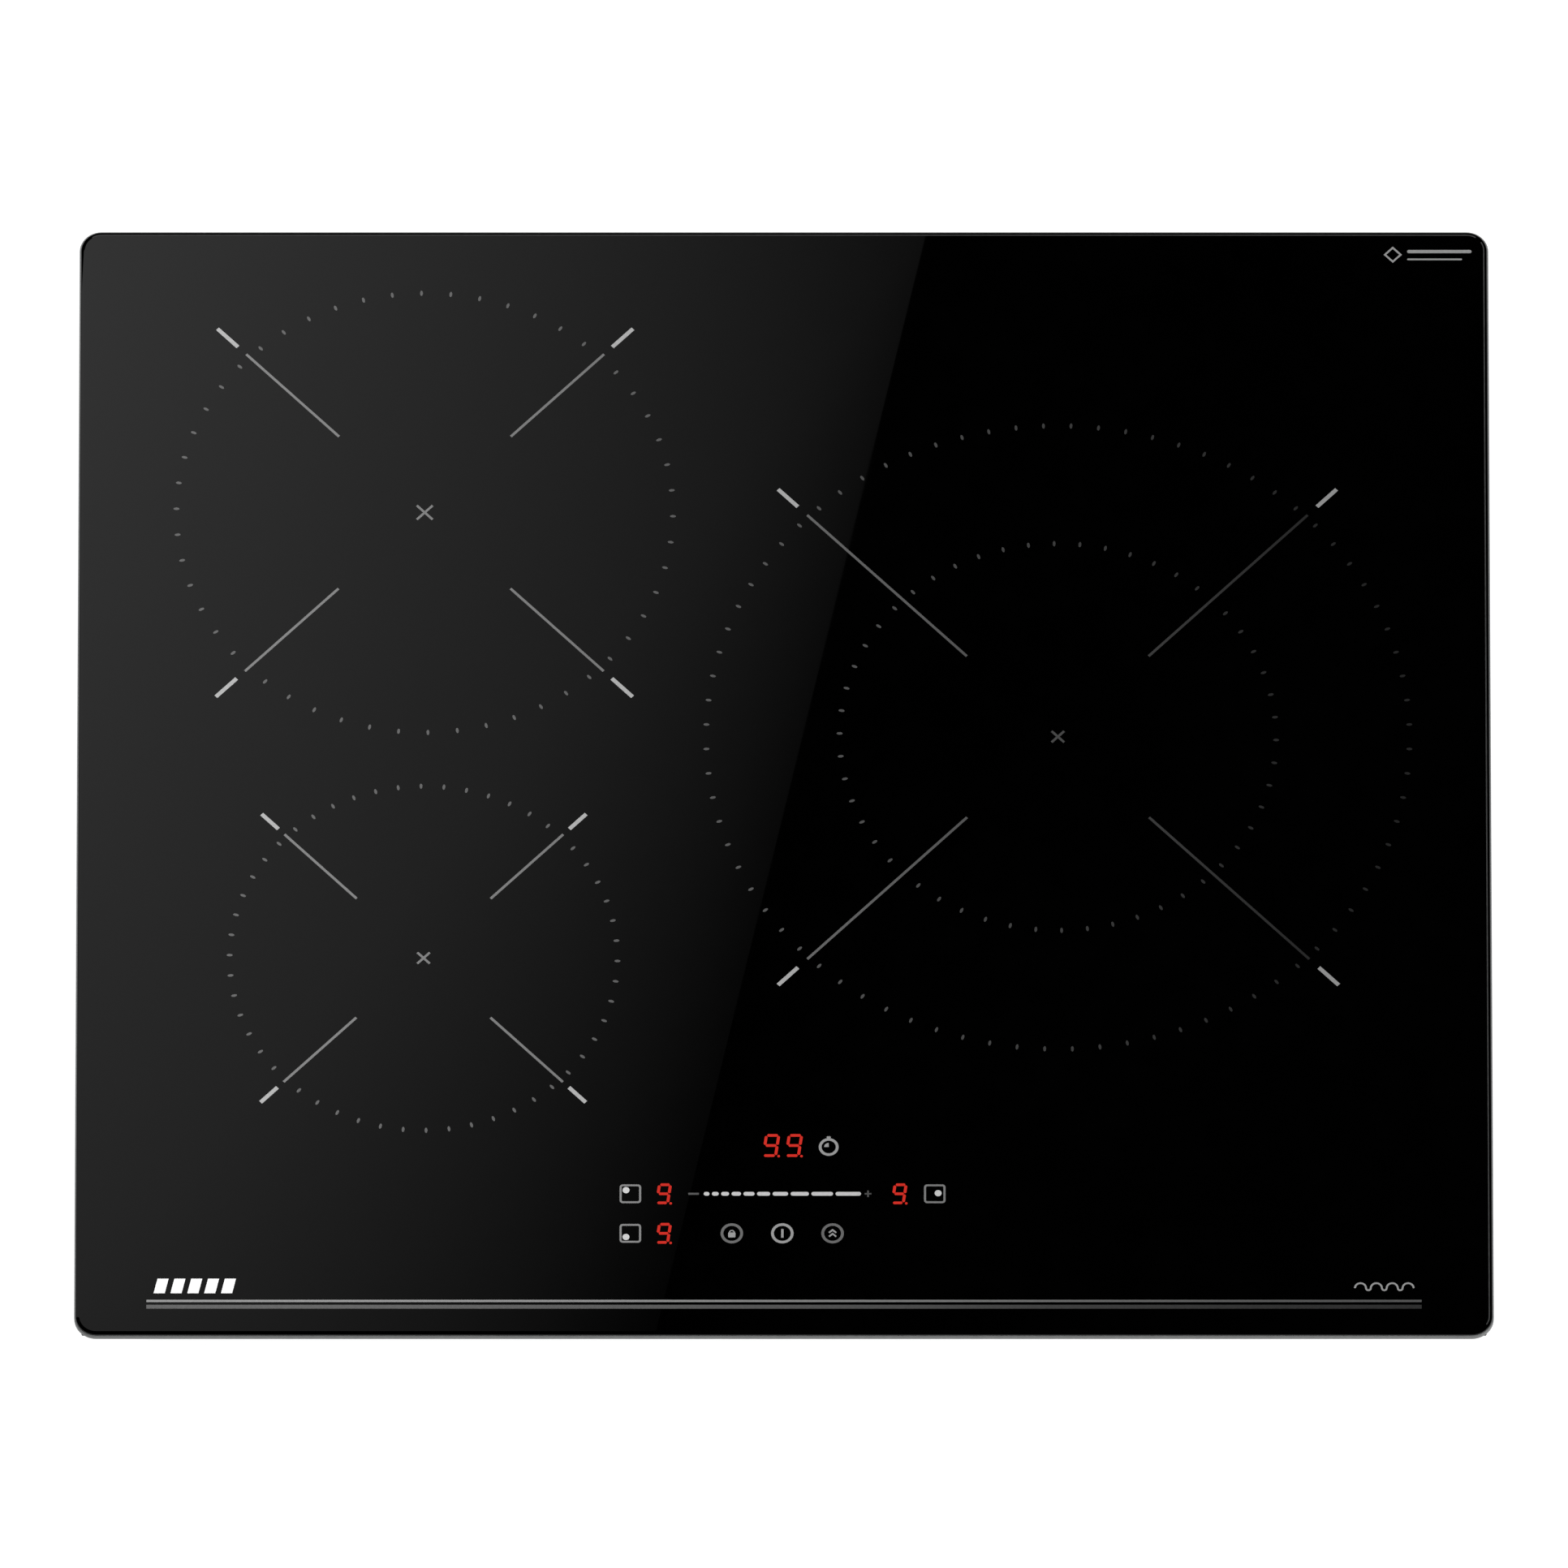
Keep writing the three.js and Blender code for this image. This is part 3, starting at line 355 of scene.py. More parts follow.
def with_painted_falloff(tree, tone, share):
    """Tone with painted shade: it falls off evenly from the panel's left edge to the given share at its right
    edge.
    """
    place = wired(tree, "ShaderNodeTexCoord").outputs["Object"]
    split = wired(tree, "ShaderNodeSeparateXYZ", {0: place})
    strength = wired(tree, "ShaderNodeMapRange", {
        "Value": split.outputs["X"], "From Min": PAINTED_FALLOFF_SPAN[0], "From Max": PAINTED_FALLOFF_SPAN[1],
        "To Min": 1.0, "To Max": share}, interpolation_type="SMOOTHSTEP")
    return wired(tree, "ShaderNodeVectorMath", {0: tone, "Scale": strength}, operation="SCALE")


def finish_of(name, dark, light, roughness, pattern, grain, metallic=0.0, specular=0.5, coat=0.0,
              glow=None, painted_falloff=None):
    """Material whose colour and roughness both follow one pattern, with a fine grain as bump.

    pattern is (kind, scale, contrast), grain is (scale, strength), and the painted falloff is the share of its
    tone that a print keeps at the panel's right edge: painted shade that darkens the print towards the right.
    """
    material, tree = new_material(name)
    shader = tree.nodes["Principled BSDF"]
    kind, scale, contrast = pattern
    variation = wired(tree, "ShaderNodeGroup", node_tree=PATTERNS[kind])
    feed(tree, variation, {0: scale, 1: contrast})
    tone = wired(tree, "ShaderNodeMix", {"Factor": variation}, data_type="RGBA")
    feed(tree, tone, {"A": rgba(dark), "B": rgba(light)})
    rough = wired(tree, "ShaderNodeMapRange", {"Value": variation, "To Min": roughness[0], "To Max": roughness[1]})
    # A print's colour can carry painted shade that darkens it towards the panel's right edge.
    feed(tree, shader, {"Metallic": metallic, "Specular IOR Level": specular, "Coat Weight": coat,
                        "Base Color": tone if painted_falloff is None else with_painted_falloff(tree, tone, painted_falloff), "Roughness": rough})
    if grain:
        scale, strength = grain
        height = wired(tree, "ShaderNodeGroup", node_tree=GRAIN)
        feed(tree, height, {0: scale, 1: 1.0})
        feed(tree, shader, {"Normal": wired(tree, "ShaderNodeBump", {
            "Strength": strength, "Distance": GRAIN_HEIGHT, "Height": height})})
    if glow:
        feed(tree, shader, {"Emission Color": rgba(glow), "Emission Strength": 1.0})
    return material


# Material's name, dark tone, light tone, roughness, pattern, grain, and what else it has.
METAL = {"metallic": 1.0}
FINISHES = {finish: finish_of(*look, **more) for finish, *look, more in (
    ("glass", "black_glass", 0.0, 0.0003, (0.0, 0.02), ("mottle", 9.0, 1.2), None, {"specular": 0.55}),
    # The bevel's inner line: matt grey on the black glass, a painted highlight.
    ("bevel_line", "bevel_line", 0.028, 0.04, (0.4, 0.6), ("mottle", 500.0, 2.0), (5000.0, 0.2),
     {"specular": 0.3}),
    ("ground_edge", "ground_glass_edge", (0.085, 0.088, 0.088), (0.13, 0.133, 0.133), (0.35, 0.5),
     ("mottle", 420.0, 1.0), (6000.0, 0.3), {}),
    ("digit", "red_light", (0.05, 0.002, 0.001), (0.12, 0.004, 0.002), (0.2, 0.4), ("mottle", 700.0, 1.0), None,
     {"glow": (0.5, 0.02, 0.012)}),
    ("foam", "seal_foam", 0.012, 0.03, (0.85, 1.0), ("mottle", 500.0, 1.5), (2600.0, 1.0), {"specular": 0.2}),
    ("rubber", "grommet_rubber", 0.012, 0.025, (0.6, 0.8), ("mottle", 200.0, 1.0), (3000.0, 0.4), {}),
    ("steel", "galvanised_sheet", (0.44, 0.45, 0.46), (0.56, 0.57, 0.58), (0.3, 0.42),
     ("spangle", 210.0, 0.45), (1800.0, 0.2), METAL),
    ("aluminium", "mill_aluminium", (0.6, 0.61, 0.62), (0.8, 0.81, 0.82), (0.25, 0.42),
     ("drawn", 30.0, 1.6), (2500.0, 0.2), METAL),
    ("spring", "bright_spring_steel", (0.34, 0.35, 0.37), (0.6, 0.61, 0.63), (0.18, 0.34),
     ("drawn", 60.0, 1.6), (3000.0, 0.15), METAL),
    ("screw", "zinc_screw", (0.45, 0.45, 0.44), (0.72, 0.72, 0.7), (0.2, 0.4),
     ("mottle", 600.0, 1.4), (3500.0, 0.2), METAL),
    ("copper", "litz_copper", (0.24, 0.07, 0.025), (0.55, 0.22, 0.09), (0.25, 0.45),
     ("mottle", 900.0, 1.6), (4000.0, 0.5), {**METAL, "coat": 0.3}),
    ("mica", "pressed_mica", (0.42, 0.36, 0.25), (0.66, 0.6, 0.46), (0.45, 0.75),
     ("mottle", 160.0, 1.8), (1500.0, 0.6), {}),
    ("plastic", "black_nylon", 0.012, 0.024, (0.42, 0.6), ("mottle", 240.0, 1.2), (3200.0, 0.6), {}),
    ("white_plastic", "white_moulding", (0.62, 0.62, 0.6), (0.76, 0.76, 0.74), (0.4, 0.55),
     ("mottle", 200.0, 1.0), (3200.0, 0.4), {}),
    ("ceramic", "sensor_ceramic", (0.66, 0.64, 0.58), (0.82, 0.8, 0.75), (0.5, 0.7),
     ("mottle", 500.0, 1.2), (3500.0, 0.6), {}),
    ("board", "green_board", (0.008, 0.06, 0.025), (0.02, 0.14, 0.055), (0.25, 0.4),
     ("mottle", 320.0, 1.5), (2200.0, 0.3), {"coat": 0.2}),
    ("ferrite", "dark_ferrite", 0.018, (0.05, 0.05, 0.055), (0.4, 0.65),
     ("mottle", 500.0, 1.4), (3500.0, 0.6), {}),
    ("capacitor", "capacitor_yellow", (0.5, 0.36, 0.03), (0.66, 0.5, 0.06), (0.3, 0.45),
     ("mottle", 160.0, 1.0), (3000.0, 0.3), {}),
)}
# Printed enamel: tone at the panel's left edge, and the share of it left at the right edge; the drop between them
# is painted shade.
PRINTS = {
    "mark": (0.2, 1.0), "name": (0.83, 1.0), "dash": (0.36, 0.52), "bar": (0.5, 0.55), "dot": (0.53, 0.6),
    "ring": (0.112, 0.1), "arm": (0.18, 0.06), "upper_line": (0.24, 0.25), "lower_line": (0.1, 0.19),
    "frame": (0.22, 0.4), "key": (0.145, 0.38), "power": (0.295, 0.5),
}
for print_name, (print_tone, painted_falloff_share) in PRINTS.items():
    FINISHES["print_" + print_name] = finish_of(
        "enamel_" + print_name, print_tone * 0.9, print_tone * 1.1, (0.4, 0.6), ("mottle", 900.0, 1.4),
        (5000.0, 0.2), specular=0.2, painted_falloff=painted_falloff_share)
SLOT_FINISH = {
    "glass_ceramic": "glass", "seal_foam": "foam", "rubber": "rubber", "galvanised_steel": "steel",
    "aluminium": "aluminium", "spring_steel": "spring", "copper_litz": "copper", "mica": "mica",
    "black_plastic": "plastic", "white_plastic": "white_plastic", "sensor_ceramic": "ceramic",
    "circuit_board": "board", "ferrite": "ferrite", "capacitor_case": "capacitor",
    "printed_enamel": "print_name", "lit_digits": "digit",
}
SLOTS = {part["node"]: part["material_slot"] for part in frame["record"]["subparts"]}


# ---------------------------------------------------------------- mesh building

def placed(mesh, name, finishes, body="hob_base"):
    """Puts a finished mesh in the scene as a piece that rides on a body."""
    piece = in_scene(name, mesh)
    for number, finish in enumerate(finishes):
        if number < len(mesh.materials):
            mesh.materials[number] = FINISHES[finish]
        else:
            mesh.materials.append(FINISHES[finish])
    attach(piece, body)
    return piece


def stand_in(mesh, node):
    """Puts a finished mesh on a frame node's body, in its slot, and hides the node."""
    slot = SLOTS[node]
    piece = placed(mesh, node + "_shaped", [SLOT_FINISH[slot]], frame["nodes"][node]["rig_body"])
    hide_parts(node)
    return piece


def mesh_from(shape, name):
    bmesh.ops.recalc_face_normals(shape, faces=shape.faces)
    mesh = bpy.data.meshes.new(name)
    shape.to_mesh(mesh)
    shape.free()
    return mesh


def add_loft(shape, rows, capped=True):
    """Skins rows of points in turn, closing each row on itself; caps the ends or joins them."""
    rings = [[shape.verts.new([part * MM for part in point]) for point in row] for row in rows]
    for lower, upper in zip(rings, rings[1:] if capped else rings[1:] + rings[:1]):
        for i in range(len(lower)):
            j = (i + 1) % len(lower)
            shape.faces.new((lower[i], lower[j], upper[j], upper[i]))
    if capped:
        shape.faces.new(reversed(rings[0]))
        shape.faces.new(rings[-1])


def add_plate(shape, outline, low, high):
    """Flat closed plate with the given outline."""
    add_loft(shape, [[(x, y, z) for x, y in outline] for z in (low, high)])


def arc_points(centre, radius, start=0.0, sweep=360.0, count=48):
    steps = count if sweep == 360.0 else count - 1
    turns = [radians(start + sweep * i / steps) for i in range(count)]
    return [(centre[0] + radius * cos(turn), centre[1] + radius * sin(turn)) for turn in turns]


def rounded_outline(centre, width, depth, radius, count=6):
    """Corner arcs of a rounded rectangle, in order round it."""
    points = []
    for turn, (sx, sy) in enumerate(((1, 1), (-1, 1), (-1, -1), (1, -1))):
        corner = (centre[0] + sx * (width / 2 - radius), centre[1] + sy * (depth / 2 - radius))
        points += arc_points(corner, radius, 90.0 * turn, 90.0, count)
    return points


def pill(left, right, y, height):
    """Outline of a level bar with round ends."""
    radius = height / 2
    return (arc_points((right - radius, y), radius, -90.0, 180.0, 7)
            + arc_points((left + radius, y), radius, 90.0, 180.0, 7))


def sharpen(mesh, angle=32.0):
    """Marks the edges that stay crisp under smooth shading."""
    shape = bmesh.new()
    shape.from_mesh(mesh)
    for edge in shape.edges:
        if len(edge.link_faces) == 2:
            edge.smooth = edge.calc_face_angle() < radians(angle)
    shape.to_mesh(mesh)
    shape.free()


def lofted(rows, name, sharp=None):
    """Smooth-shaded loft; edges sharper than the given angle stay crisp."""
    shape = bmesh.new()
    add_loft(shape, rows)
    mesh = mesh_from(shape, name)
    mesh.shade_smooth()
    if sharp:
        sharpen(mesh, sharp)
    return mesh


def modified(mesh, name, *modifiers):
    """The plain mesh that a mesh turns into under (kind, settings) modifiers."""
    host = in_scene(name, mesh)
    for kind, settings in modifiers:
        modifier = host.modifiers.new(kind.lower(), kind)
        for setting, value in settings.items():
            setattr(modifier, setting, value)
    result = bpy.data.meshes.new_from_object(host.evaluated_get(bpy.context.evaluated_depsgraph_get()))
    bpy.data.objects.remove(host)
    return result


def eased(mesh, name, width):
    """Rounds a mesh's sharp corners a little and keeps its flats flat."""
    mesh.shade_smooth()
    settings = {"width": width * MM, "segments": 2, "limit_method": "ANGLE", "angle_limit": radians(35.0)}
    return modified(mesh, name, ("BEVEL", settings), ("WEIGHTED_NORMAL", {"weight": 90, "keep_sharp": False}))


def solid_of(outline, low, high, name, ease=0.0):
    """Upright prism with eased corners."""
    shape = bmesh.new()
    add_plate(shape, outline, low, high)
    mesh = mesh_from(shape, name)
    return eased(mesh, name, ease) if ease else mesh


def softened(profile, radius, count=3):
    """Profile with each corner off its axis rounded by up to radius."""
    points = []
    for i, corner in enumerate(profile):
        corner = Vector(corner)
        if not corner.x:
            points.append(corner)
            continue
        before, after = Vector(profile[i - 1]), Vector(profile[(i + 1) % len(profile)])
        reach = min(radius, (before - corner).length * 0.45, (after - corner).length * 0.45)
        start = corner + (before - corner).normalized() * reach
        end = corner + (after - corner).normalized() * reach
        for step in range(count):
            t = step / (count - 1)
            points.append(start * (1 - t) ** 2 + corner * 2 * t * (1 - t) + end * t ** 2)
    return points


def lathed(profile, centre, name, count=96, turn=None):
    """Closed (radius, height) profile turned about the upright through centre."""
    rows = []
    for radius, height in profile:
        points = [Vector((*point, height)) for point in arc_points((0, 0), radius, count=count)]
        rows.append([(turn @ point if turn else point) + Vector(centre) for point in points])
    shape = bmesh.new()
    add_loft(shape, rows, capped=False)
    bmesh.ops.remove_doubles(shape, verts=shape.verts, dist=0.001 * MM)
    axis_lines = [edge for edge in shape.edges if not edge.link_faces]
    bmesh.ops.delete(shape, geom=axis_lines, context="EDGES")
    mesh = mesh_from(shape, name)
    mesh.shade_smooth()
    sharpen(mesh)
    return mesh


# ---------------------------------------------------------------- grown repeats

def geometry_tree(name, inputs):
    return new_tree(name, "Geometry", [*inputs, ("Finish", "Material")], ("Geometry", "Geometry"))


def finished(tree, entry, leave, geometry):
    """Ends a geometry tree: copies made real, in the finish that its input names."""
    solid = wired(tree, "GeometryNodeRealizeInstances", {0: geometry})
    coloured = wired(tree, "GeometryNodeSetMaterial", {"Geometry": solid, "Material": entry["Finish"]})
    feed(tree, leave, {0: coloured})
    return tree


def ring_tree():
    """Geometry nodes: small raised marks round a circle, in one or more runs."""
    tree, entry, leave = geometry_tree("ring_of_marks", [
        ("Centre", "Vector"), ("Radius", "Float"), ("Count", "Int"), ("First Angle", "Float"),
        ("Angle Step", "Float"), ("Mark Size", "Vector")])
    index = wired(tree, "GeometryNodeInputIndex")
    angle = maths(tree, "ADD", maths(tree, "MULTIPLY", index, entry["Angle Step"]), entry["First Angle"])
    spot = wired(tree, "ShaderNodeCombineXYZ", {
        axis: maths(tree, "MULTIPLY", maths(tree, function, angle), entry["Radius"])
        for axis, function in (("X", "COSINE"), ("Y", "SINE"))})
    moved = wired(tree, "ShaderNodeVectorMath", {0: spot, 1: entry["Centre"]})
    points = wired(tree, "GeometryNodePoints", {"Count": entry["Count"], "Position": moved})
    mark = wired(tree, "GeometryNodeMeshCylinder", {"Vertices": 12, "Radius": 0.5, "Depth": 1.0})
    copies = wired(tree, "GeometryNodeInstanceOnPoints", {
        "Points": points, "Instance": mark.outputs["Mesh"], "Scale": entry["Mark Size"],
        "Rotation": wired(tree, "ShaderNodeCombineXYZ", {"Z": angle})})
    return finished(tree, entry, leave, copies)


def fixing_tree():
    """Geometry nodes: one shape copied to every spot, each with its own turn."""
    tree, entry, leave = geometry_tree("fixings", [("Spots", "Geometry"), ("Shape", "Object"),
                                                   ("Size", "Float")])
    turn = wired(tree, "GeometryNodeInputNamedAttribute", {"Name": "turn"}, data_type="FLOAT_VECTOR")
    source = wired(tree, "GeometryNodeObjectInfo", {"Object": entry["Shape"]})
    copies = wired(tree, "GeometryNodeInstanceOnPoints", {
        "Points": wired(tree, "GeometryNodeMeshToPoints", {"Mesh": entry["Spots"]}),
        "Instance": source.outputs["Geometry"], "Rotation": turn.outputs["Attribute"], "Scale": entry["Size"]})
    return finished(tree, entry, leave, copies)


def winding_tree():
    """Geometry nodes: flat spiral of stranded wire about an upright."""
    tree, entry, leave = geometry_tree("litz_winding", [
        ("Centre", "Vector"), ("Inner", "Float"), ("Outer", "Float"), ("Turns", "Float"), ("Wire", "Vector")])
    spiral = wired(tree, "GeometryNodeCurveSpiral", {
        "Resolution": 56, "Height": 0.0, "Rotations": entry["Turns"], "Start Radius": entry["Inner"],
        "End Radius": entry["Outer"]})
    upright = wired(tree, "GeometryNodeSetCurveNormal", {"Curve": spiral}, mode="Z_UP")
    section = wired(tree, "GeometryNodeCurvePrimitiveCircle", {"Resolution": 10, "Radius": 0.5})
    shaped = wired(tree, "GeometryNodeTransform", {
        "Geometry": section.outputs["Curve"], "Scale": entry["Wire"]})
    swept = wired(tree, "GeometryNodeCurveToMesh", {
        "Curve": upright, "Profile Curve": shaped, "Fill Caps": True})
    moved = wired(tree, "GeometryNodeTransform", {"Geometry": swept, "Translation": entry["Centre"]})
    return finished(tree, entry, leave, moved)


RING_OF_MARKS, FIXINGS, LITZ_WINDING = ring_tree(), fixing_tree(), winding_tree()


def grown(tree, name, values, spots=None):
    """Runs a geometry-nodes tree once with named inputs, in metres; returns a plain mesh."""
    host = in_scene(name, spots or bpy.data.meshes.new(name))
    modifier = host.modifiers.new("grow", "NODES")
    modifier.node_group = tree
    identifiers = {item.name: item.identifier for item in tree.interface.items_tree if item.in_out == "INPUT"}
    for label, value in values.items():
        modifier[identifiers[label]] = value
    bpy.context.view_layer.update()
    mesh = bpy.data.meshes.new_from_object(host.evaluated_get(bpy.context.evaluated_depsgraph_get()))
    bpy.data.objects.remove(host)
    return mesh


def fixed(shape_mesh, spots, name, finish, size=1.0, body="hob_base"):
    """Copies of one shape at (place, turn) spots, as one piece on a body."""
    host = bpy.data.meshes.new(name)
    host.from_pydata([tuple(Vector(place) * MM) for place, _ in spots], [], [])
    turns = host.attributes.new("turn", "FLOAT_VECTOR", "POINT")
    for item, (_, turn) in zip(turns.data, spots):
        item.vector = turn
    source = bpy.data.objects.new(name + "_shape", shape_mesh)
    mesh = grown(FIXINGS, name, {"Shape": source, "Size": size, "Finish": FINISHES[finish]}, host)
    bpy.data.objects.remove(source)
    sharpen(mesh)
    return placed(mesh, name, [finish], body)


def facing(direction, spin=0.0):
    """Turn that points a shape's top along a direction, after a spin about it."""
    aim = Vector(direction).to_track_quat("Z", "Y")
    return (aim @ Quaternion((0, 0, 1), spin)).to_euler()


# Heads one unit across that stand on z = 0: (radius, height) rows, then for a screw the
# (share, height) rows of its six-lobed recess. The rivet has the dimple of a pulled one.
SCREW_HEAD = ("screw_head", 24, ((0.5, -0.02), (0.5, 0.08), (0.47, 0.17), (0.38, 0.27), (0.27, 0.32)),
              ((1.0, 0.33), (0.92, 0.12)))
RIVET_HEAD = ("rivet_head", 16, ((0.5, -0.02), (0.49, 0.07), (0.4, 0.18), (0.24, 0.24), (0.15, 0.24),
                                 (0.1, 0.14)))
RECESS_RADIUS, RECESS_LOBE = 0.185, 0.035


def round_head(name, count, profile, recess=()):
    rows = [[(*point, height) for point in arc_points((0, 0), radius, count=count)]
            for radius, height in profile]
    for share, height in recess:
        row = []
        for turn in (tau * i / count for i in range(count)):
            radius = share * (RECESS_RADIUS + RECESS_LOBE * cos(6 * turn))
            row.append((radius * cos(turn), radius * sin(turn), height))
        rows.append(row)
    return lofted(rows, name)


# ---------------------------------------------------------------- glass panel

GLASS_CORNER = 9.2
GLASS_FOOT = 1.0
# The panel's bevel, from its wall up to its flat top: inset and drop.
GLASS_EDGE = ((0.0, 1.0), (0.42, 0.72), (0.6, 0.4), (0.75, 0.14), (0.95, 0.105), (1.65, 0.03), (2.15, 0.0))


def add_glass_panel():
    """Slab with a satin ground wall under a polished bevel; along the rear and right edges the bevel's inner line
    is matt grey, a painted highlight.
    """
    size = GLASS_HIGH - GLASS_LOW
    low, high = GLASS_LOW.z, GLASS_HIGH.z
    profile = [(GLASS_FOOT, low), (GLASS_FOOT * 0.3, low + GLASS_FOOT * 0.3), (0.0, low + GLASS_FOOT)]
    profile += [(inset, high - drop) for inset, drop in GLASS_EDGE]
    shape = bmesh.new()
    add_loft(shape, [[(*point, z) for point in rounded_outline(
        (0, 0), size.x - 2 * inset, size.y - 2 * inset, GLASS_CORNER - inset, 12)] for inset, z in profile])
    wall_top, highlight_line_low = (high - GLASS_EDGE[i][1] for i in (1, -2))
    highlight_line_reach = GLASS_EDGE[-1][0] * 1.5
    for face in shape.faces:
        centre = face.calc_center_median() / MM
        # Only along the rear and right edges does the bevel's inner line take the painted highlight.
        painted_highlight_side = max(centre.x - GLASS_HIGH.x, centre.y - GLASS_HIGH.y) > -highlight_line_reach
        face.smooth = len(face.verts) == 4
        if face.smooth and centre.z < wall_top:
            face.material_index = 1
        elif face.smooth and centre.z > highlight_line_low and painted_highlight_side:
            face.material_index = 2
    piece = placed(mesh_from(shape, "glass_panel_polished"), "glass_panel_polished",
                   ["glass", "ground_edge", "bevel_line"])
    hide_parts("glass_panel")


# ---------------------------------------------------------------- print on the glass

PRINT_LOW = GLASS_HIGH.z + 0.005
PRINT_HIGH = PRINT_LOW + 0.04
OVER, UNDER = 0.02, -0.01                # where marks cross, one top stands clear of the other
MITRE_LIMIT = 0.35

# Per zone, from its centre: dotted rings as (radius, (marks in a run, first angle, angle step,
# runs)), arms and outer dashes as (start, end), and the width of the cross.
SPLIT_RING = (26, 50.2, 6.78, 2)
FULL_RING = (80, 2.25, 4.5, 1)
ZONE_PRINT = {
    "left_rear": {"rings": [(103.8, SPLIT_RING)], "arm": (50.8, 105.9), "dash": (110.8, 123.0), "cross": 6.6},
    "left_front": {"rings": [(80.8, SPLIT_RING)], "arm": (39.5, 82.2), "dash": (85.8, 95.7), "cross": 5.2},
    "right": {"rings": [(146.8, FULL_RING), (91.1, SPLIT_RING)], "arm": (53.7, 147.9),
              "dash": (153.5, 165.1), "cross": 5.2},
}
MARK_SIZE = (2.5, 1.2, PRINT_HIGH - PRINT_LOW)
ARM_WIDTH = 1.1
DASH_WIDTH = 1.7
CROSS_WIDTH = 1.0


def add_mark(shape, outline, lift=0.0):
    add_plate(shape, outline, PRINT_LOW, PRINT_HIGH + lift)


def add_stroke(shape, points, width, closed=False, lift=0.0):
    """Printed line along points, mitred at its corners."""
    points = [Vector(point) for point in points]
    runs = [(after - point).normalized() for point, after in zip(points, points[1:] + points[:1])]
    rows = []
    for i, point in enumerate(points):
        into, out = runs[i - 1], runs[i]
        if not closed:
            into, out = (into if i else out), (out if i < len(points) - 1 else into)
        along = (into + out).normalized()
        side = Vector((-along.y, along.x)) * width / 2 / max(MITRE_LIMIT, abs(along.dot(into)))
        left, right, high = point + side, point - side, PRINT_HIGH + lift
        rows.append([(*left, high), (*left, PRINT_LOW), (*right, PRINT_LOW), (*right, high)])
    add_loft(shape, rows, capped=not closed)


def printed(shape, name, tone):
    placed(mesh_from(shape, name), name, ["print_" + tone])


def add_zone_print(coil):
    """Dotted rings, diagonal arms with outer dashes, and a small cross in the middle."""
    plan, centre = ZONE_PRINT[coil], zone_centre(coil)
    marks, lines, dashes = bmesh.new(), bmesh.new(), bmesh.new()
    for radius, (count, first, step, runs) in plan["rings"]:
        for run in range(runs):
            marks.from_mesh(grown(RING_OF_MARKS, f"zone_marks_{coil}", {
                "Centre": Vector((*centre, (PRINT_LOW + PRINT_HIGH) / 2)) * MM,
                "Radius": radius * MM,
                "Count": count,
                "First Angle": radians(first + 180.0 * run),
                "Angle Step": radians(step),
                "Mark Size": Vector(MARK_SIZE) * MM,
                "Finish": FINISHES["print_ring"],
            }))
    for quarter in range(4):
        turn = radians(45 + 90 * quarter)
        ray = Vector((cos(turn), sin(turn)))
        for shape, part, width in ((lines, "arm", ARM_WIDTH), (dashes, "dash", DASH_WIDTH)):
            add_stroke(shape, [centre + ray * reach for reach in plan[part]], width)
    for side, lift in ((1, 0.0), (-1, OVER)):
        arm = Vector((1, side)) * plan["cross"] / 2
        add_stroke(lines, [centre - arm, centre + arm], CROSS_WIDTH, lift=lift)
    printed(marks, f"zone_marks_{coil}", "ring")
    printed(lines, f"zone_arms_{coil}", "arm")
    printed(dashes, f"zone_dashes_{coil}", "dash")


# Control marks: places from the panel's middle line and from its front edge.
TIMER_ROW, SLIDER_ROW, KEY_ROW = FRONT_EDGE + 88.9, FRONT_EDGE + 66.3, FRONT_EDGE + 47.8
ZONE_KEYS = (((-63.9, SLIDER_ROW), (-1.8, 1.7)), ((-63.9, KEY_ROW), (-1.8, -1.7)),
             ((62.7, SLIDER_ROW), (1.4, 0.3)))
ROUND_KEYS = (-21.7, -0.7, 20.2)
KEY_RING = 4.1
TIMER_RING = 3.55
RING_WIDTH = 1.15
SLIDER_START = -33.4
SLIDER_FIRST = 2.4
SLIDER_GROWTH = 1.18
SLIDER_GAP = 1.0
SLIDER_HEIGHT = 1.8
SLIDER_STEPS = 10
SLIDER_MINUS = (-39.8, -35.4)


def add_slider():
    """Ten bars that lengthen to the right, between a minus and a plus."""
    bars, ends = bmesh.new(), bmesh.new()
    start = SLIDER_START
    for step in range(SLIDER_STEPS):
        length = SLIDER_FIRST * SLIDER_GROWTH ** step
        add_mark(bars, pill(start, start + length, SLIDER_ROW, SLIDER_HEIGHT))
        start += length + SLIDER_GAP
    add_stroke(ends, [(x, SLIDER_ROW) for x in SLIDER_MINUS], 0.9)
    plus = Vector((start + 1.9, SLIDER_ROW))
    for arm, lift in ((Vector((1.4, 0)), 0.0), (Vector((0, 1.5)), OVER)):
        add_stroke(ends, [plus - arm, plus + arm], 0.7, lift=lift)
    printed(bars, "slider_bars", "bar")
    printed(ends, "slider_ends", "lower_line")


def add_zone_keys():
    """A small panel outline for each zone, with a dot where the zone lies."""
    frames, dots = bmesh.new(), bmesh.new()
    for place, spot in ZONE_KEYS:
        add_stroke(frames, rounded_outline(place, 8.1, 7.9, 0.9, 4), 0.85, closed=True)
        add_mark(dots, arc_points(Vector(place) + Vector(spot), 1.45, count=20))
    printed(frames, "zone_key_frames", "frame")
    printed(dots, "zone_key_dots", "dot")


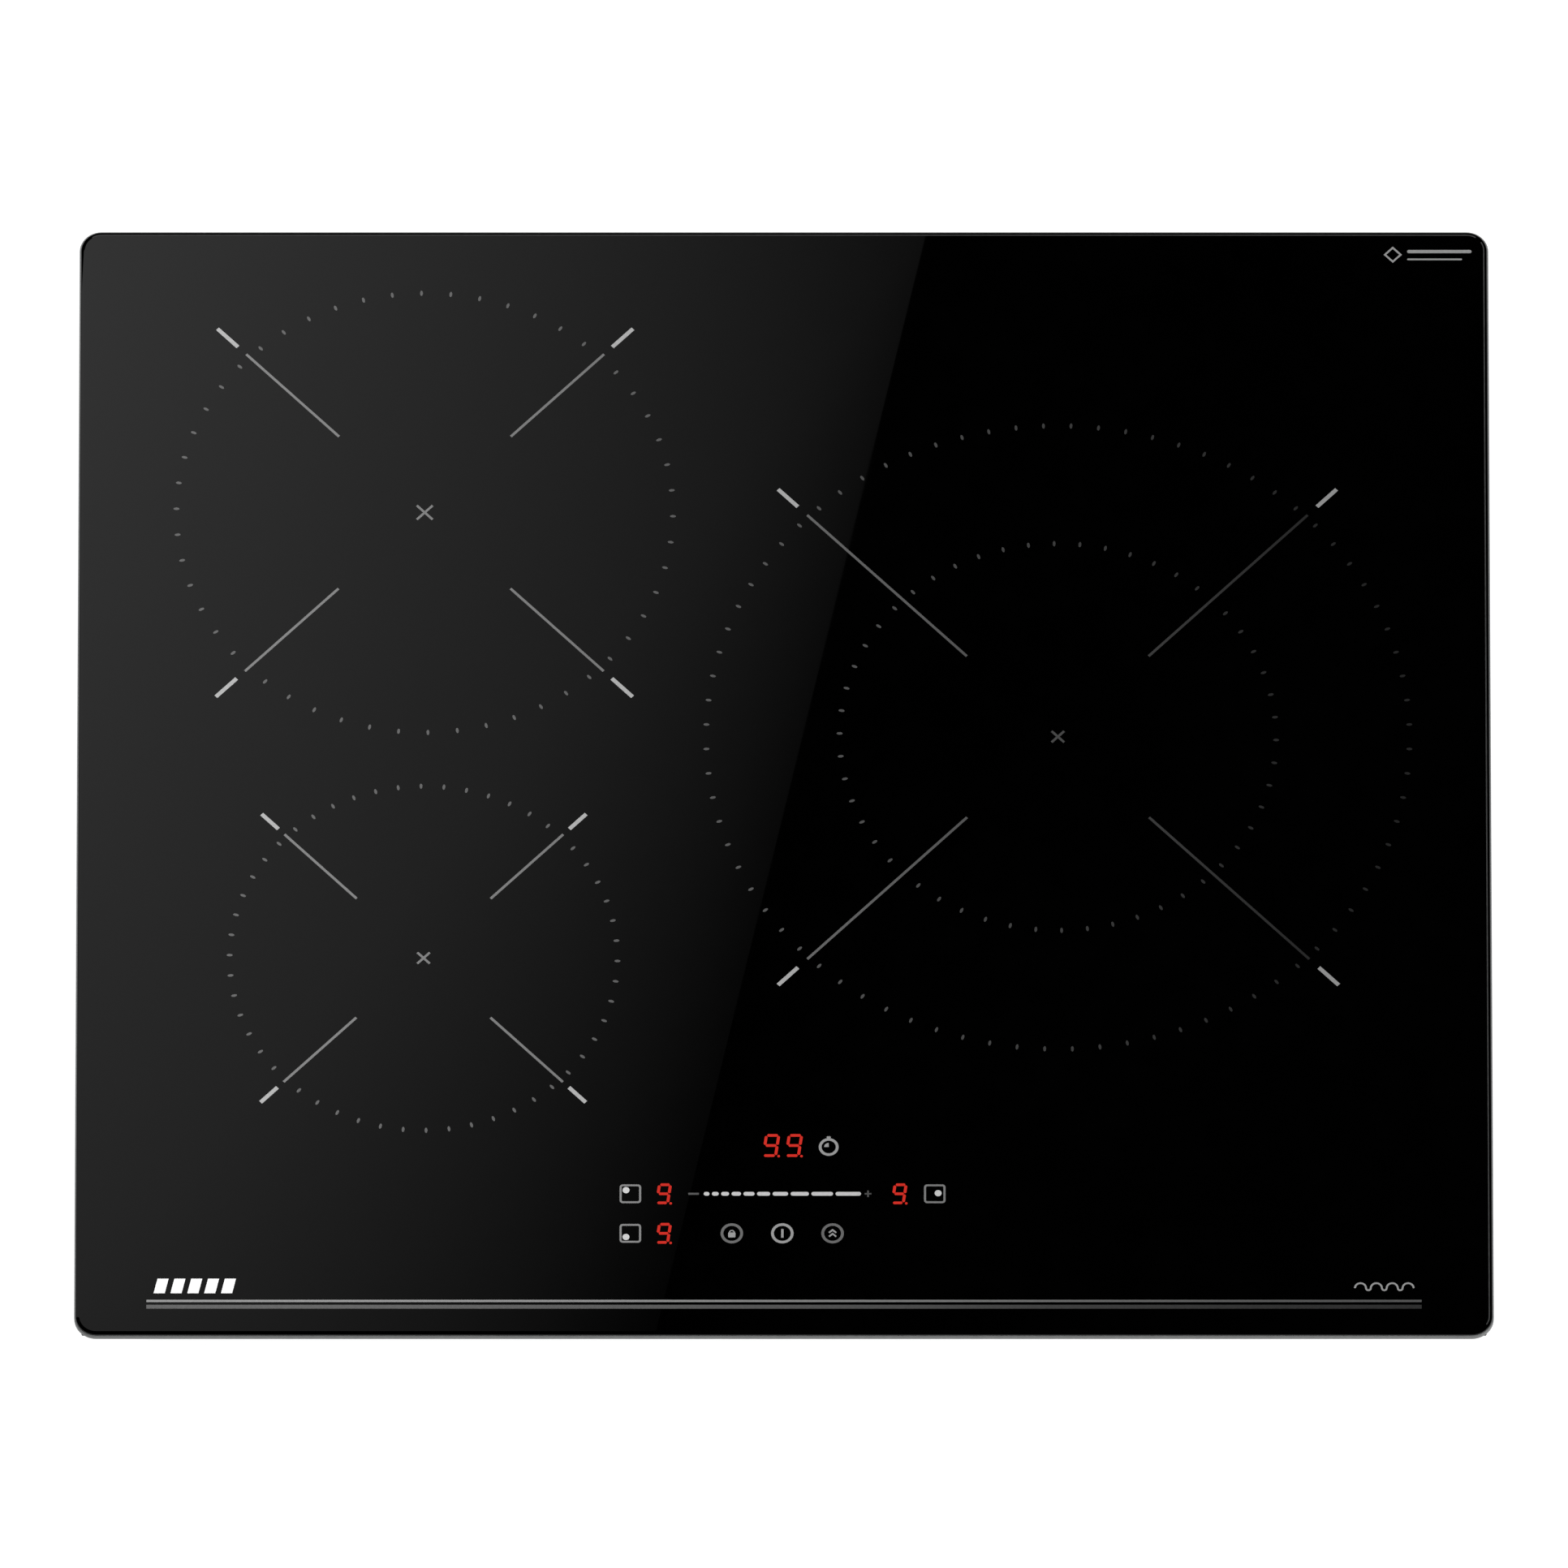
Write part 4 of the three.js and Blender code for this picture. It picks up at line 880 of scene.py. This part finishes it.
def add_round_keys():
    """Lock, power and boost keys: a ring with a plain pictogram in each."""
    rings, power_ring, glyphs = bmesh.new(), bmesh.new(), bmesh.new()
    lock, power, boost = (Vector((x, KEY_ROW)) for x in ROUND_KEYS)
    for shape, centre in ((rings, lock), (power_ring, power), (rings, boost)):
        add_stroke(shape, arc_points(centre, KEY_RING, count=40), RING_WIDTH, closed=True)
    add_mark(glyphs, rounded_outline(lock - Vector((0, 0.75)), 3.0, 2.3, 0.35, 3))
    add_stroke(glyphs, arc_points(lock + Vector((0, 0.35)), 1.0, 0.0, 180.0, 10), 0.5, lift=UNDER)
    add_stroke(glyphs, [power - Vector((0, 2.0)), power + Vector((0, 2.0))], 1.0)
    for rise in (-0.2, 1.6):
        tip = boost + Vector((0, rise))
        add_stroke(glyphs, [tip + Vector((-1.5, -1.3)), tip, tip + Vector((1.5, -1.3))], 0.7)
    printed(rings, "round_key_rings", "key")
    printed(power_ring, "power_key_ring", "power")
    printed(glyphs, "round_key_glyphs", "power")


def add_timer_key():
    """Clock face with a knob on top and one quarter filled."""
    shape = bmesh.new()
    centre = Vector((18.6, TIMER_ROW - 0.7))
    add_stroke(shape, arc_points(centre, TIMER_RING, count=40), RING_WIDTH, closed=True)
    add_mark(shape, rounded_outline(centre + Vector((0, 4.55)), 1.7, 0.9, 0.3, 3), UNDER)
    add_mark(shape, [centre] + arc_points(centre, 1.9, 90.0, 90.0, 8))
    printed(shape, "timer_key", "power")


DIGIT_WIDTH = 5.0
DIGIT_HEIGHT = 9.2
DIGIT_SLANT = tan(radians(8))
SEGMENT_HALF = 0.6075                    # half the width of a segment
SEGMENT_NOSE = 0.1701                    # how far its sides start from its corner points
SEGMENT_TRIM = 0.5
SEGMENT_TIP = 0.25
# Each digit's place and size; the zones' digits are a little smaller than the timer's.
DIGITS = ((-5.4, TIMER_ROW, 1.03), (4.1, TIMER_ROW, 1.03), (-50.1, SLIDER_ROW, 0.92), (-50.1, KEY_ROW, 0.92),
          (47.9, SLIDER_ROW, 0.92))
# Segment ends as shares of the digit's width and height from its middle; a 9 leaves out the
# lower left one.
NINE_SEGMENTS = (
    ((-0.5, 0.5), (0.5, 0.5)),
    ((0.5, 0.5), (0.5, 0.0)),
    ((0.5, 0.0), (0.5, -0.5)),
    ((-0.5, -0.5), (0.5, -0.5)),
    ((-0.5, 0.0), (-0.5, 0.5)),
    ((-0.5, 0.0), (0.5, 0.0)),
)


def add_digits():
    """Lit seven-segment figures, each with its decimal point."""
    shape = bmesh.new()
    for x, y, size in DIGITS:
        def digit_point(across, upward):
            rise = upward * DIGIT_HEIGHT * size
            return Vector((x + across * DIGIT_WIDTH * size + rise * DIGIT_SLANT, y + rise))

        for start, end in NINE_SEGMENTS:
            first, last = digit_point(*start), digit_point(*end)
            along = (last - first).normalized()
            first, last = first + along * SEGMENT_TRIM, last - along * SEGMENT_TRIM
            side = Vector((-along.y, along.x)) * SEGMENT_HALF
            nose, tip = along * SEGMENT_NOSE, along * SEGMENT_TIP
            add_mark(shape, [first - tip, first + side + nose, last + side - nose,
                             last + tip, last - side - nose, first - side + nose])
        add_mark(shape, arc_points(digit_point(0.5, -0.5) + Vector((1.25, -0.25)), 0.56, count=14))
    placed(mesh_from(shape, "lit_digits"), "lit_digits", ["digit"])


FRONT_LINE_HALF = 265.0
FRONT_LINES = ((16.2, 1.05, "upper_line"), (13.5, 1.8, "lower_line"))    # from the edge, width, tone


def add_front_lines():
    for number, (from_edge, width, tone) in enumerate(FRONT_LINES, 1):
        shape = bmesh.new()
        add_stroke(shape, [(side * FRONT_LINE_HALF, FRONT_EDGE + from_edge) for side in (-1, 1)], width)
        printed(shape, f"front_line_{number}", tone)


def add_generic_marks():
    """Plain signs of no maker: slanted bars, a short wave, and a lozenge with two bars."""
    left, right, rear = bmesh.new(), bmesh.new(), bmesh.new()
    low, high = FRONT_EDGE + 19.8, FRONT_EDGE + 26.6
    for x in (-262.0 + 7.0 * i for i in range(5)):
        add_mark(left, [(x, low), (x + 4.6, low), (x + 6.2, high), (x + 1.6, high)])
    row = FRONT_EDGE + 22.2
    for x in (239.6 + 6.6 * i for i in range(4)):
        add_stroke(right, arc_points((x, row), 2.3, 0.0, 180.0, 14), 0.75)
        if x > 240.0:
            add_stroke(right, arc_points((x - 3.3, row), 1.0, 180.0, 180.0, 10), 0.75, lift=UNDER)
    row = GLASS_HIGH.y - 11.2
    lozenge = [(255.0, row + 3.3), (251.7, row), (255.0, row - 3.3), (258.3, row)]
    add_stroke(rear, lozenge, 0.8, closed=True)
    for rise, height, end in ((1.5, 1.5, 288.0), (-2.2, 0.8, 284.0)):
        add_mark(rear, pill(261.0, end, row + rise, height))
    printed(left, "front_left_mark", "name")
    printed(right, "front_right_mark", "mark")
    printed(rear, "rear_right_mark", "mark")


# ---------------------------------------------------------------- refined frame nodes

# Frame nodes kept in their own shape, and how far their corners are eased.
EASED_NODES = {
    "rail_front": 0.3, "rail_rear": 0.3, "rail_left": 0.3, "rail_right": 0.3, "casing_tray": 0.22,
    "seal_front": 0.6, "seal_rear": 0.6, "seal_left": 0.6, "seal_right": 0.6, "power_board": 0.15,
    "heatsink": 0.25, "power_module": 0.5, "bridge_rectifier": 0.6, "bus_capacitor": 0.8,
    "intake_grille": 0.25, "fan_housing": 0.0, "fan_rotor": 0.25, "air_duct": 0.3,
    "control_carrier": 0.3, "control_board": 0.15, "light_guide": 0.25, "terminal_block": 0.6,
    "terminal_cover": 0.4,
}


def ease_frame_nodes():
    """Copies whose loose triangles are joined and whose flats are made whole, with eased corners."""
    for node, width in EASED_NODES.items():
        shape = bmesh.new()
        shape.from_mesh(frame["nodes"][node].data)
        bmesh.ops.remove_doubles(shape, verts=shape.verts, dist=0.002 * MM)
        bmesh.ops.dissolve_limit(shape, angle_limit=radians(1.0), verts=shape.verts, edges=shape.edges)
        stand_in(eased(mesh_from(shape, node + "_shaped"), node, width), node)


def dress_frame_nodes():
    """Every frame node gets the finish of its slot."""
    for node, piece in frame["nodes"].items():
        piece.data.materials.clear()
        piece.data.materials.append(FINISHES[SLOT_FINISH[SLOTS[node]]])


# ---------------------------------------------------------------- casing details

_, TRAY_HIGH = box("casing_tray")
WALL_X, WALL_Y = TRAY_HIGH.x, TRAY_HIGH.y
WALL_SIDES = {"side": (-1, 1), "front": (-1,), "rear": (1,)}
SCREW_ROW = TRAY_HIGH.z - 5.5
WALL_SCREWS = {
    "side": (-208.0, -66.0, 66.0, 208.0),
    "front": (-250.0, -132.0, 0.0, 132.0, 250.0),
    "rear": (-250.0, -140.0, -38.0, 64.0, 146.0, 251.0),
}
# Height of each wall's pressed ribs, and their ends along it.
WALL_BEADS = {
    "side": (14.0, (-214.0, -142.0), (-98.0, 98.0), (142.0, 214.0)),
    "front": (19.0, (-250.0, -96.0), (-80.0, 80.0), (96.0, 250.0)),
    "rear": (19.0, (-250.0, -148.0), (-132.0, 56.0), (72.0, 152.0)),
}
BEAD_WIDTH = 5.0
BEAD_RISE = 1.0
BEAD_SINK = 0.05
# How a rib runs out: distance from its end, and its share of the full width and rise there.
BEAD_END = ((0.0, 0.05), (0.3, 0.45), (1.0, 0.8), (2.2, 0.96), (4.0, 1.0))
TAB_WIDTH = 13.0
TAB_THICKNESS = 0.8
TAB_LOW, TAB_HIGH = 16.0, 50.5
CASING_SCREW, COVER_SCREW, TERMINAL_SCREW = 6.6, 4.8, 6.0
TAB_RIVET, CLIP_RIVET = 4.6, 4.4


def wall_place(wall, side, along, height):
    """Place on a wall's outer face, and the wall's outward direction."""
    if wall == "side":
        return Vector((side * WALL_X, along, height)), Vector((side, 0, 0))
    return Vector((along, side * WALL_Y, height)), Vector((0, side, 0))


def bead_mesh(start, end, out):
    """Pressed rib along a wall: a low round ridge that runs out at both ends."""
    along = (end - start).normalized()
    across = out.cross(along) * BEAD_WIDTH / 2
    length = (end - start).length
    rows = []
    for distance, share in (*BEAD_END, *((length - distance, share) for distance, share in reversed(BEAD_END))):
        base = start + along * distance
        row = [base + across * cos(turn) * share + out * sin(turn) ** 1.4 * BEAD_RISE * share
               for turn in (radians(t) for t in range(0, 181, 20))]
        rows.append(row + [base + across * side * share - out * BEAD_SINK for side in (-1, 1)])
    return lofted(rows, "bead", 50.0)


def add_pressed_beads():
    for wall, (height, *spans) in WALL_BEADS.items():
        shape = bmesh.new()
        for span in spans:
            for side in WALL_SIDES[wall]:
                (start, out), (end, _) = (wall_place(wall, side, along, height) for along in span)
                shape.from_mesh(bead_mesh(start, end, out))
        name = f"casing_beads_{wall}"
        placed(mesh_from(shape, name), name, ["steel"])


def add_corner_tabs():
    """Tabs of the side walls, folded round the corners onto the front and rear walls."""
    shape, rivets = bmesh.new(), []
    outline = rounded_outline((0, 0), TAB_WIDTH, TAB_HIGH - TAB_LOW, 2.0, 5)
    for side_x in (-1, 1):
        for side_y in (-1, 1):
            x, y = side_x * (WALL_X - TAB_WIDTH / 2), side_y * WALL_Y
            tab = solid_of(outline, -TAB_THICKNESS / 2, TAB_THICKNESS / 2, "tab", 0.2)
            place = Vector((x, y + side_y * TAB_THICKNESS / 2, (TAB_LOW + TAB_HIGH) / 2)) * MM
            tab.transform(Matrix.Translation(place) @ Matrix.Rotation(pi / 2, 4, "X"))
            shape.from_mesh(tab)
            for z in (TAB_LOW + 6.5, TAB_HIGH - 12.0):
                rivets.append(((x, y + side_y * TAB_THICKNESS, z), facing((0, side_y, 0), z * 0.9)))
    placed(mesh_from(shape, "corner_tabs"), "corner_tabs", ["steel"])
    fixed(round_head(*RIVET_HEAD), rivets, "corner_rivets", "aluminium", TAB_RIVET)


def add_casing_screws():
    """Screws that hold the casing to its rails and the terminal cover to the casing."""
    spots = [wall_place(wall, side, along, SCREW_ROW)
             for wall, row in WALL_SCREWS.items() for side in WALL_SIDES[wall] for along in row]
    spots = [(place, facing(out, place.x * 0.037 + place.y * 0.053)) for place, out in spots]
    fixed(round_head(*SCREW_HEAD), spots, "casing_screws", "screw", CASING_SCREW)
    low, high = box("terminal_cover")
    spots = [((x, low.y + 1.5, z), facing((0, 1, 0), x * 0.04 + z * 0.009))
             for x in (low.x + 3.0, high.x - 3.0) for z in (low.z + 6.0, high.z - 6.0)]
    fixed(round_head(*SCREW_HEAD), spots, "cover_screws", "screw", COVER_SCREW)


def add_cover_ribs():
    """Upright ribs on the terminal cover's raised pan."""
    _, high = box("terminal_cover")
    centre = middle("terminal_cover")
    rib = solid_of(rounded_outline((0, 0), 1.6, 17.0, 0.7, 4), -0.3, 0.8, "rib", 0.25)
    spots = [((centre.x + i * 6.5, high.y, centre.z), facing((0, 1, 0))) for i in range(-3, 4)]
    fixed(rib, spots, "cover_ribs", "plastic")


def add_grommet():
    """Moulded bush in the rear wall, with a rounded lip on each side."""
    low, high = box("cable_grommet")
    half, outer = (high.y - low.y) / 2, (high.x - low.x) / 2
    neck, bore, lip = outer - 2.1, 6.0, half - 2.6
    profile = [(bore + 0.8, -half), (outer, -half), (outer, -lip), (neck, -lip), (neck, lip), (outer, lip),
               (outer - 1.5, half), (bore + 0.8, half), (bore, half - 0.9), (bore, 0.9 - half)]
    turn = Matrix.Rotation(-pi / 2, 3, "X")
    stand_in(lathed(softened(profile, 0.7, 4), middle("cable_grommet"), "cable_grommet", 64, turn),
             "cable_grommet")


# ---------------------------------------------------------------- retaining clips

CLIP_HALF = 11.0
CLIP_SHEET = 0.8
CLIP_STATIONS = 26
CLIP_BACK = 1.1                          # outer face of the foot, out from the wall
# Outer face of the spring as (distance out from the wall, height), foot to tip.
CLIP_LINE = ((CLIP_BACK, 5.0), (CLIP_BACK, 12.0), (1.15, 17.2), (2.0, 21.0), (4.4, 28.0), (6.6, 33.5),
             (7.2, 37.0), (7.0, 40.8), (6.2, 45.3))
# Lines across the spring, as shares of its half width, and the cells that its window leaves out.
CLIP_ACROSS = (-1.0, -0.86, -0.5, -0.42, -0.2, 0.0, 0.2, 0.42, 0.5, 0.86, 1.0)
WINDOW_ROWS, WINDOW_COLUMNS = range(12, 20), range(3, 7)
RIDGE_ROWS = range(9, CLIP_STATIONS - 4)
RIDGE_RISE = 0.35


def smooth_line(points, count):
    """Evenly spaced points on a smooth line through the given ones."""
    points = [Vector(point) for point in points]
    fine = []
    for i, (first, second) in enumerate(zip(points, points[1:])):
        before, after = points[max(i - 1, 0)], points[min(i + 2, len(points) - 1)]
        for t in (step / 12 for step in range(12)):
            fine.append(0.5 * ((2 * first) + (second - before) * t
                               + (2 * before - 5 * first + 4 * second - after) * t ** 2
                               + (3 * first - before - 3 * second + after) * t ** 3))
    fine.append(points[-1])
    lengths = [0.0]
    for one, two in zip(fine, fine[1:]):
        lengths.append(lengths[-1] + (two - one).length)
    even, at = [], 0
    for i in range(count):
        wanted = lengths[-1] * i / (count - 1)
        while at < len(fine) - 2 and lengths[at + 1] < wanted:
            at += 1
        share = (wanted - lengths[at]) / max(lengths[at + 1] - lengths[at], 1e-9)
        even.append(fine[at].lerp(fine[at + 1], min(share, 1.0)))
    return even


def clip_sheet(side, centre):
    """Outer face of one spring: flat foot, bowed blade with a window and two raised edges."""
    shape, rows = bmesh.new(), []
    for i, (out, height) in enumerate(smooth_line(CLIP_LINE, CLIP_STATIONS)):
        left_over = (CLIP_STATIONS - 1 - i) / 3
        narrow = 1.0 if left_over >= 1 else 1 - 0.26 * (1 - left_over) ** 2
        foot = 1.0 if i > 1 else 1 - 0.1 * (2 - i) ** 2 / 2
        half = CLIP_HALF * min(narrow, foot)
        row = []
        for share in CLIP_ACROSS:
            lift = RIDGE_RISE if i in RIDGE_ROWS and abs(share) > 0.9 else 0.0
            place = Vector((side * (WALL_X + out - lift), centre.y + share * half, height))
            row.append(shape.verts.new(place * MM))
        rows.append(row)
    for i, (row, above) in enumerate(zip(rows, rows[1:])):
        for j in range(len(CLIP_ACROSS) - 1):
            if not (i in WINDOW_ROWS and j in WINDOW_COLUMNS):
                face = (row[j], row[j + 1], above[j + 1], above[j])
                shape.faces.new(face if side > 0 else tuple(reversed(face)))
    bmesh.ops.delete(shape, geom=[vert for vert in shape.verts if not vert.link_faces], context="VERTS")
    sheet = bpy.data.meshes.new("clip_sheet")
    shape.to_mesh(sheet)
    shape.free()
    sheet.shade_smooth()
    return sheet


def add_clip(clip):
    """Leaf spring whose blade bows out from its foot, and the rivets through its foot."""
    side = -1 if clip.startswith("left") else 1
    centre = middle("clip_foot_" + clip)
    solid = bmesh.new()
    solid.from_mesh(modified(
        clip_sheet(side, centre), "clip_sheet", ("SOLIDIFY", {"thickness": CLIP_SHEET * MM, "offset": -1.0}),
        ("BEVEL", {"width": 0.18 * MM, "segments": 2, "limit_method": "ANGLE", "angle_limit": radians(60),
                   "harden_normals": True})))
    mesh = mesh_from(solid, f"clip_spring_{clip}")
    mesh.materials.append(FINISHES["spring"])
    piece = in_scene(f"clip_spring_{clip}", mesh)
    x, y = side * (WALL_X + CLIP_BACK), centre.y
    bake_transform(piece)
    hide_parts("clip_foot_" + clip, "clip_blade_" + clip)
    spots = [((x, y + offset, 10.5), facing((side, 0, 0), offset)) for offset in (-6, 6)]
    fixed(round_head(*RIVET_HEAD), spots, f"clip_rivets_{clip}", "screw", CLIP_RIVET)


# ---------------------------------------------------------------- coils

WIRE_PITCH = 3.5
WINDING_RADII = {"winding_left_rear": 20.0, "winding_left_front": 20.0, "winding_right_inner": 24.0,
                 "winding_right_outer": 98.0}
CARRIER_HOLE, FORMER_HOLE, MICA_HOLE = 14.0, 7.7, 5.6
FERRITES = 8
FERRITE_START, FERRITE_INSET = 19.0, 8.0
FERRITE_WIDTH = 11.0
SPRING_WIRE = 1.2
SPRING_TURNS = 5.5


def wire_mesh(stations, wire, sides, name, sharp=None):
    """Round wire through spots, each given with two directions across the wire."""
    turns = [tau * k / sides for k in range(sides)]
    rows = [[spot + (one * cos(turn) + two * sin(turn)) * wire / 2 for turn in turns]
            for spot, one, two in stations]
    return lofted(rows, name, sharp)


def add_winding(node):
    low, high = box(node)
    inner, outer = WINDING_RADII[node], (high.x - low.x) / 2
    turns = round((outer - inner) / WIRE_PITCH) - 1
    pitch = (outer - inner) / (turns + 1)
    stand_in(grown(LITZ_WINDING, node, {
        "Centre": middle(node) * MM, "Inner": (inner + pitch / 2) * MM, "Outer": (outer - pitch / 2) * MM,
        "Turns": float(turns), "Wire": Vector((pitch * 0.95 * MM, (high.z - low.z) * MM, 1.0)),
        "Finish": FINISHES["copper"]}), node)


def add_coil_discs(coil):
    """Carrier, former, mica and sensor, each turned with rounded corners."""
    def extent(kind):
        low, high = box(f"{kind}_{coil}")
        return low.z, high.z, (high.x - low.x) / 2

    low, high, edge = extent("coil_carrier")
    carrier = [(CARRIER_HOLE, low), (edge, low), (edge, high), (CARRIER_HOLE, high)]
    low, high, edge = extent("coil_former")
    lip, plate = edge - 1.6, high - 2.5
    former = [(FORMER_HOLE, low), (16.0, low), (16.0, plate - 1.5), (edge, plate - 1.5), (edge, high),
              (lip, high), (lip, plate), (FORMER_HOLE, plate)]
    low, high, edge = extent("mica_disc")
    mica = [(MICA_HOLE, low), (edge, low), (edge, high), (MICA_HOLE, high)]
    low, high, _ = extent("temperature_sensor")
    flange = plate + 0.3
    sensor = [(0.0, low), (7.4, low), (7.4, flange), (9.0, flange), (9.0, flange + 1.2), (5.0, flange + 1.2),
              (5.0, high), (0.0, high)]
    centre = Vector((*zone_centre(coil), 0))
    for kind, profile, ease, count in (("coil_carrier", carrier, 0.3, 128), ("coil_former", former, 0.35, 128),
                                       ("mica_disc", mica, 0.12, 128), ("temperature_sensor", sensor, 0.4, 48)):
        node = f"{kind}_{coil}"
        stand_in(lathed(softened(profile, ease), centre, node, count), node)


def add_ferrites(coil):
    """Bars of magnetic core that lie like spokes under the former."""
    low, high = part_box("coil_carrier_" + coil)
    reach = (high.x - low.x) / 2 / MM - FERRITE_INSET
    bar = solid_of(rounded_outline((0, 0), reach - FERRITE_START, FERRITE_WIDTH, 1.2, 3), 0.0, 3.8, "bar", 0.4)
    spots = []
    for i in range(FERRITES):
        turn = radians(22.5 + 360.0 * i / FERRITES)
        place = zone_centre(coil) + Vector((cos(turn), sin(turn))) * (FERRITE_START + reach) / 2
        spots.append(((*place, high.z / MM + 0.25), (0.0, 0.0, turn)))
    fixed(bar, spots, f"ferrite_bars_{coil}", "ferrite", body="coil_" + coil)


def add_coil_spring(node):
    """Wire wound into a spring, its end turns lying flat."""
    low, high = box(node)
    centre = (low + high) / 2
    radius = (high.x - low.x - SPRING_WIRE) / 2
    bottom, top = low.z + SPRING_WIRE / 2, high.z - SPRING_WIRE / 2
    flat, flat_rise = 0.75 / SPRING_TURNS, SPRING_WIRE * 0.9
    steps = int(SPRING_TURNS * 24)
    stations = []
    for share in (i / steps for i in range(steps + 1)):
        climb = min(max((share - flat) / (1 - 2 * flat), 0.0), 1.0)
        end_rise = flat_rise * (min(share, flat) + max(share - 1 + flat, 0.0)) / flat / 2
        height = bottom + end_rise + climb * (top - bottom - flat_rise)
        angle = tau * SPRING_TURNS * share
        spoke = Vector((cos(angle), sin(angle), 0))
        stations.append((Vector((centre.x, centre.y, height)) + spoke * radius, spoke, Vector((0, 0, 1))))
    piece = stand_in(wire_mesh(stations, SPRING_WIRE, 8, node, 60.0), node)
    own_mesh(piece)


def add_coil(coil):
    add_coil_discs(coil)
    add_ferrites(coil)
    for node in COILS[coil]:
        add_winding(node)
    for number in (1, 2, 3):
        add_coil_spring(f"coil_spring_{coil}_{number}")


# ---------------------------------------------------------------- electronics

ON_BOARD = 0.02                          # gap that keeps a part's foot off the board's face


def block_mesh(width, depth, height, ease, name):
    outline = rounded_outline((0, 0), width, depth, min(width, depth) * 0.12, 3)
    return solid_of(outline, 0.0, height, name, ease)


def add_board_parts():
    """Relays, smoothing capacitors and small parts on the power board; displays on the control board."""
    low, high = box("power_board")
    can = lathed(softened([(0.0, 0.0), (5.0, 0.0), (5.0, 16.0), (0.0, 16.0)], 0.7), (0, 0, 0), "can", 24)
    for name, shape, places, slot, finish in (
            ("board_relays", block_mesh(18, 13, 15.5, 0.5, "relay"),
             [(46 + 24 * i, 161) for i in range(4)], "black_plastic", "plastic"),
            ("board_capacitors", can, [(168, 60 + 15 * i) for i in range(5)], "capacitor_case", "capacitor"),
            ("board_resistors", block_mesh(3.2, 1.6, 1.1, 0.0, "chip"),
             [(24 + 7 * (i % 16), 8 + 8 * (i // 16)) for i in range(32)], "sensor_ceramic", "ceramic"),
            ("board_chips", block_mesh(10, 10, 1.6, 0.2, "controller"), [(30, 36), (30, 70), (94, 34)],
             "black_plastic", "plastic"),
            ("board_connectors", block_mesh(6, 22, 8.5, 0.5, "connector"), [(12, 40), (12, 74), (12, 140)],
             "white_plastic", "white_plastic")):
        spots = [((low.x + x, low.y + y, high.z + ON_BOARD), (0.0, 0.0, 0.0)) for x, y in places]
        fixed(shape, spots, name, finish)
    _, high = box("control_board")
    for name, shape, places in (
            ("digit_displays", block_mesh(9.6, 12.8, 0.6, 0.2, "display"), [(x, y) for x, y, _ in DIGITS]),
            ("slider_lamps", block_mesh(1.6, 0.9, 0.7, 0.0, "led"),
             [(-30 + 6.3 * i, SLIDER_ROW) for i in range(SLIDER_STEPS)])):
        spots = [((x, y, high.z + ON_BOARD), (0.0, 0.0, 0.0)) for x, y in places]
        fixed(shape, spots, name, "ceramic")


def add_terminal_screws():
    low, high = box("terminal_block")
    spots = [((low.x + 5 + 10 * i, (low.y + high.y) / 2, high.z), (0.0, 0.0, 0.3 * i)) for i in range(5)]
    fixed(round_head(*SCREW_HEAD), spots, "terminal_screws", "screw", TERMINAL_SCREW)


CHOKE_HOLE = 7.0
CHOKE_WIRE = 1.5
CHOKE_LOOPS, CHOKE_STEPS = 26, 16
CHOKE_START, CHOKE_SWEEP = radians(14), radians(332)
CHOKE_SQUARE = 0.35                      # lower makes each loop more square round the core


def squared(value):
    return copysign(abs(value) ** CHOKE_SQUARE, value)


def add_choke():
    """Toroid core with its winding wrapped round it."""
    low, high = box("filter_choke")
    centre = middle("filter_choke")
    outer, wire = (high.x - low.x) / 2, CHOKE_WIRE
    core = [(CHOKE_HOLE + wire, low.z + wire), (outer - wire, low.z + wire), (outer - wire, high.z - wire),
            (CHOKE_HOLE + wire, high.z - wire)]
    stand_in(lathed(softened(core, 1.2, 4), (centre.x, centre.y, 0), "filter_choke", 64), "filter_choke")
    middle_radius, half_width = (CHOKE_HOLE + outer) / 2, (outer - CHOKE_HOLE - wire) / 2
    spots = []
    for share in (i / (CHOKE_LOOPS * CHOKE_STEPS) for i in range(CHOKE_LOOPS * CHOKE_STEPS + 1)):
        angle, turn = CHOKE_START + share * CHOKE_SWEEP, tau * CHOKE_LOOPS * share
        spoke = Vector((cos(angle), sin(angle), 0))
        rise = (high.z - low.z - wire) / 2 * squared(sin(turn))
        spots.append(centre + spoke * (middle_radius + half_width * squared(cos(turn))) + Vector((0, 0, rise)))
    stations = []
    for before, spot, after in zip(spots[:1] + spots, spots, spots[1:] + spots[-1:]):
        along = (after - before).normalized()
        side = along.cross((spot - centre).normalized()).normalized()
        stations.append((spot, side, side.cross(along)))
    placed(wire_mesh(stations, wire, 6, "choke_winding"), "choke_winding", ["copper"])


# ---------------------------------------------------------------- assembly

bpy.context.scene.view_settings.view_transform = "Standard"
add_camera()
add_world()
add_soft_lamps()
add_floor()
add_reflection_card()
dress_frame_nodes()
add_glass_panel()
for coil_name in COILS:
    add_zone_print(coil_name)
add_slider()
add_zone_keys()
add_round_keys()
add_timer_key()
add_digits()
add_front_lines()
add_generic_marks()
ease_frame_nodes()
add_pressed_beads()
add_corner_tabs()
add_casing_screws()
add_cover_ribs()
add_grommet()
for clip_name in CLIPS:
    add_clip(clip_name)
for coil_name in COILS:
    add_coil(coil_name)
add_board_parts()
add_terminal_screws()
add_choke()
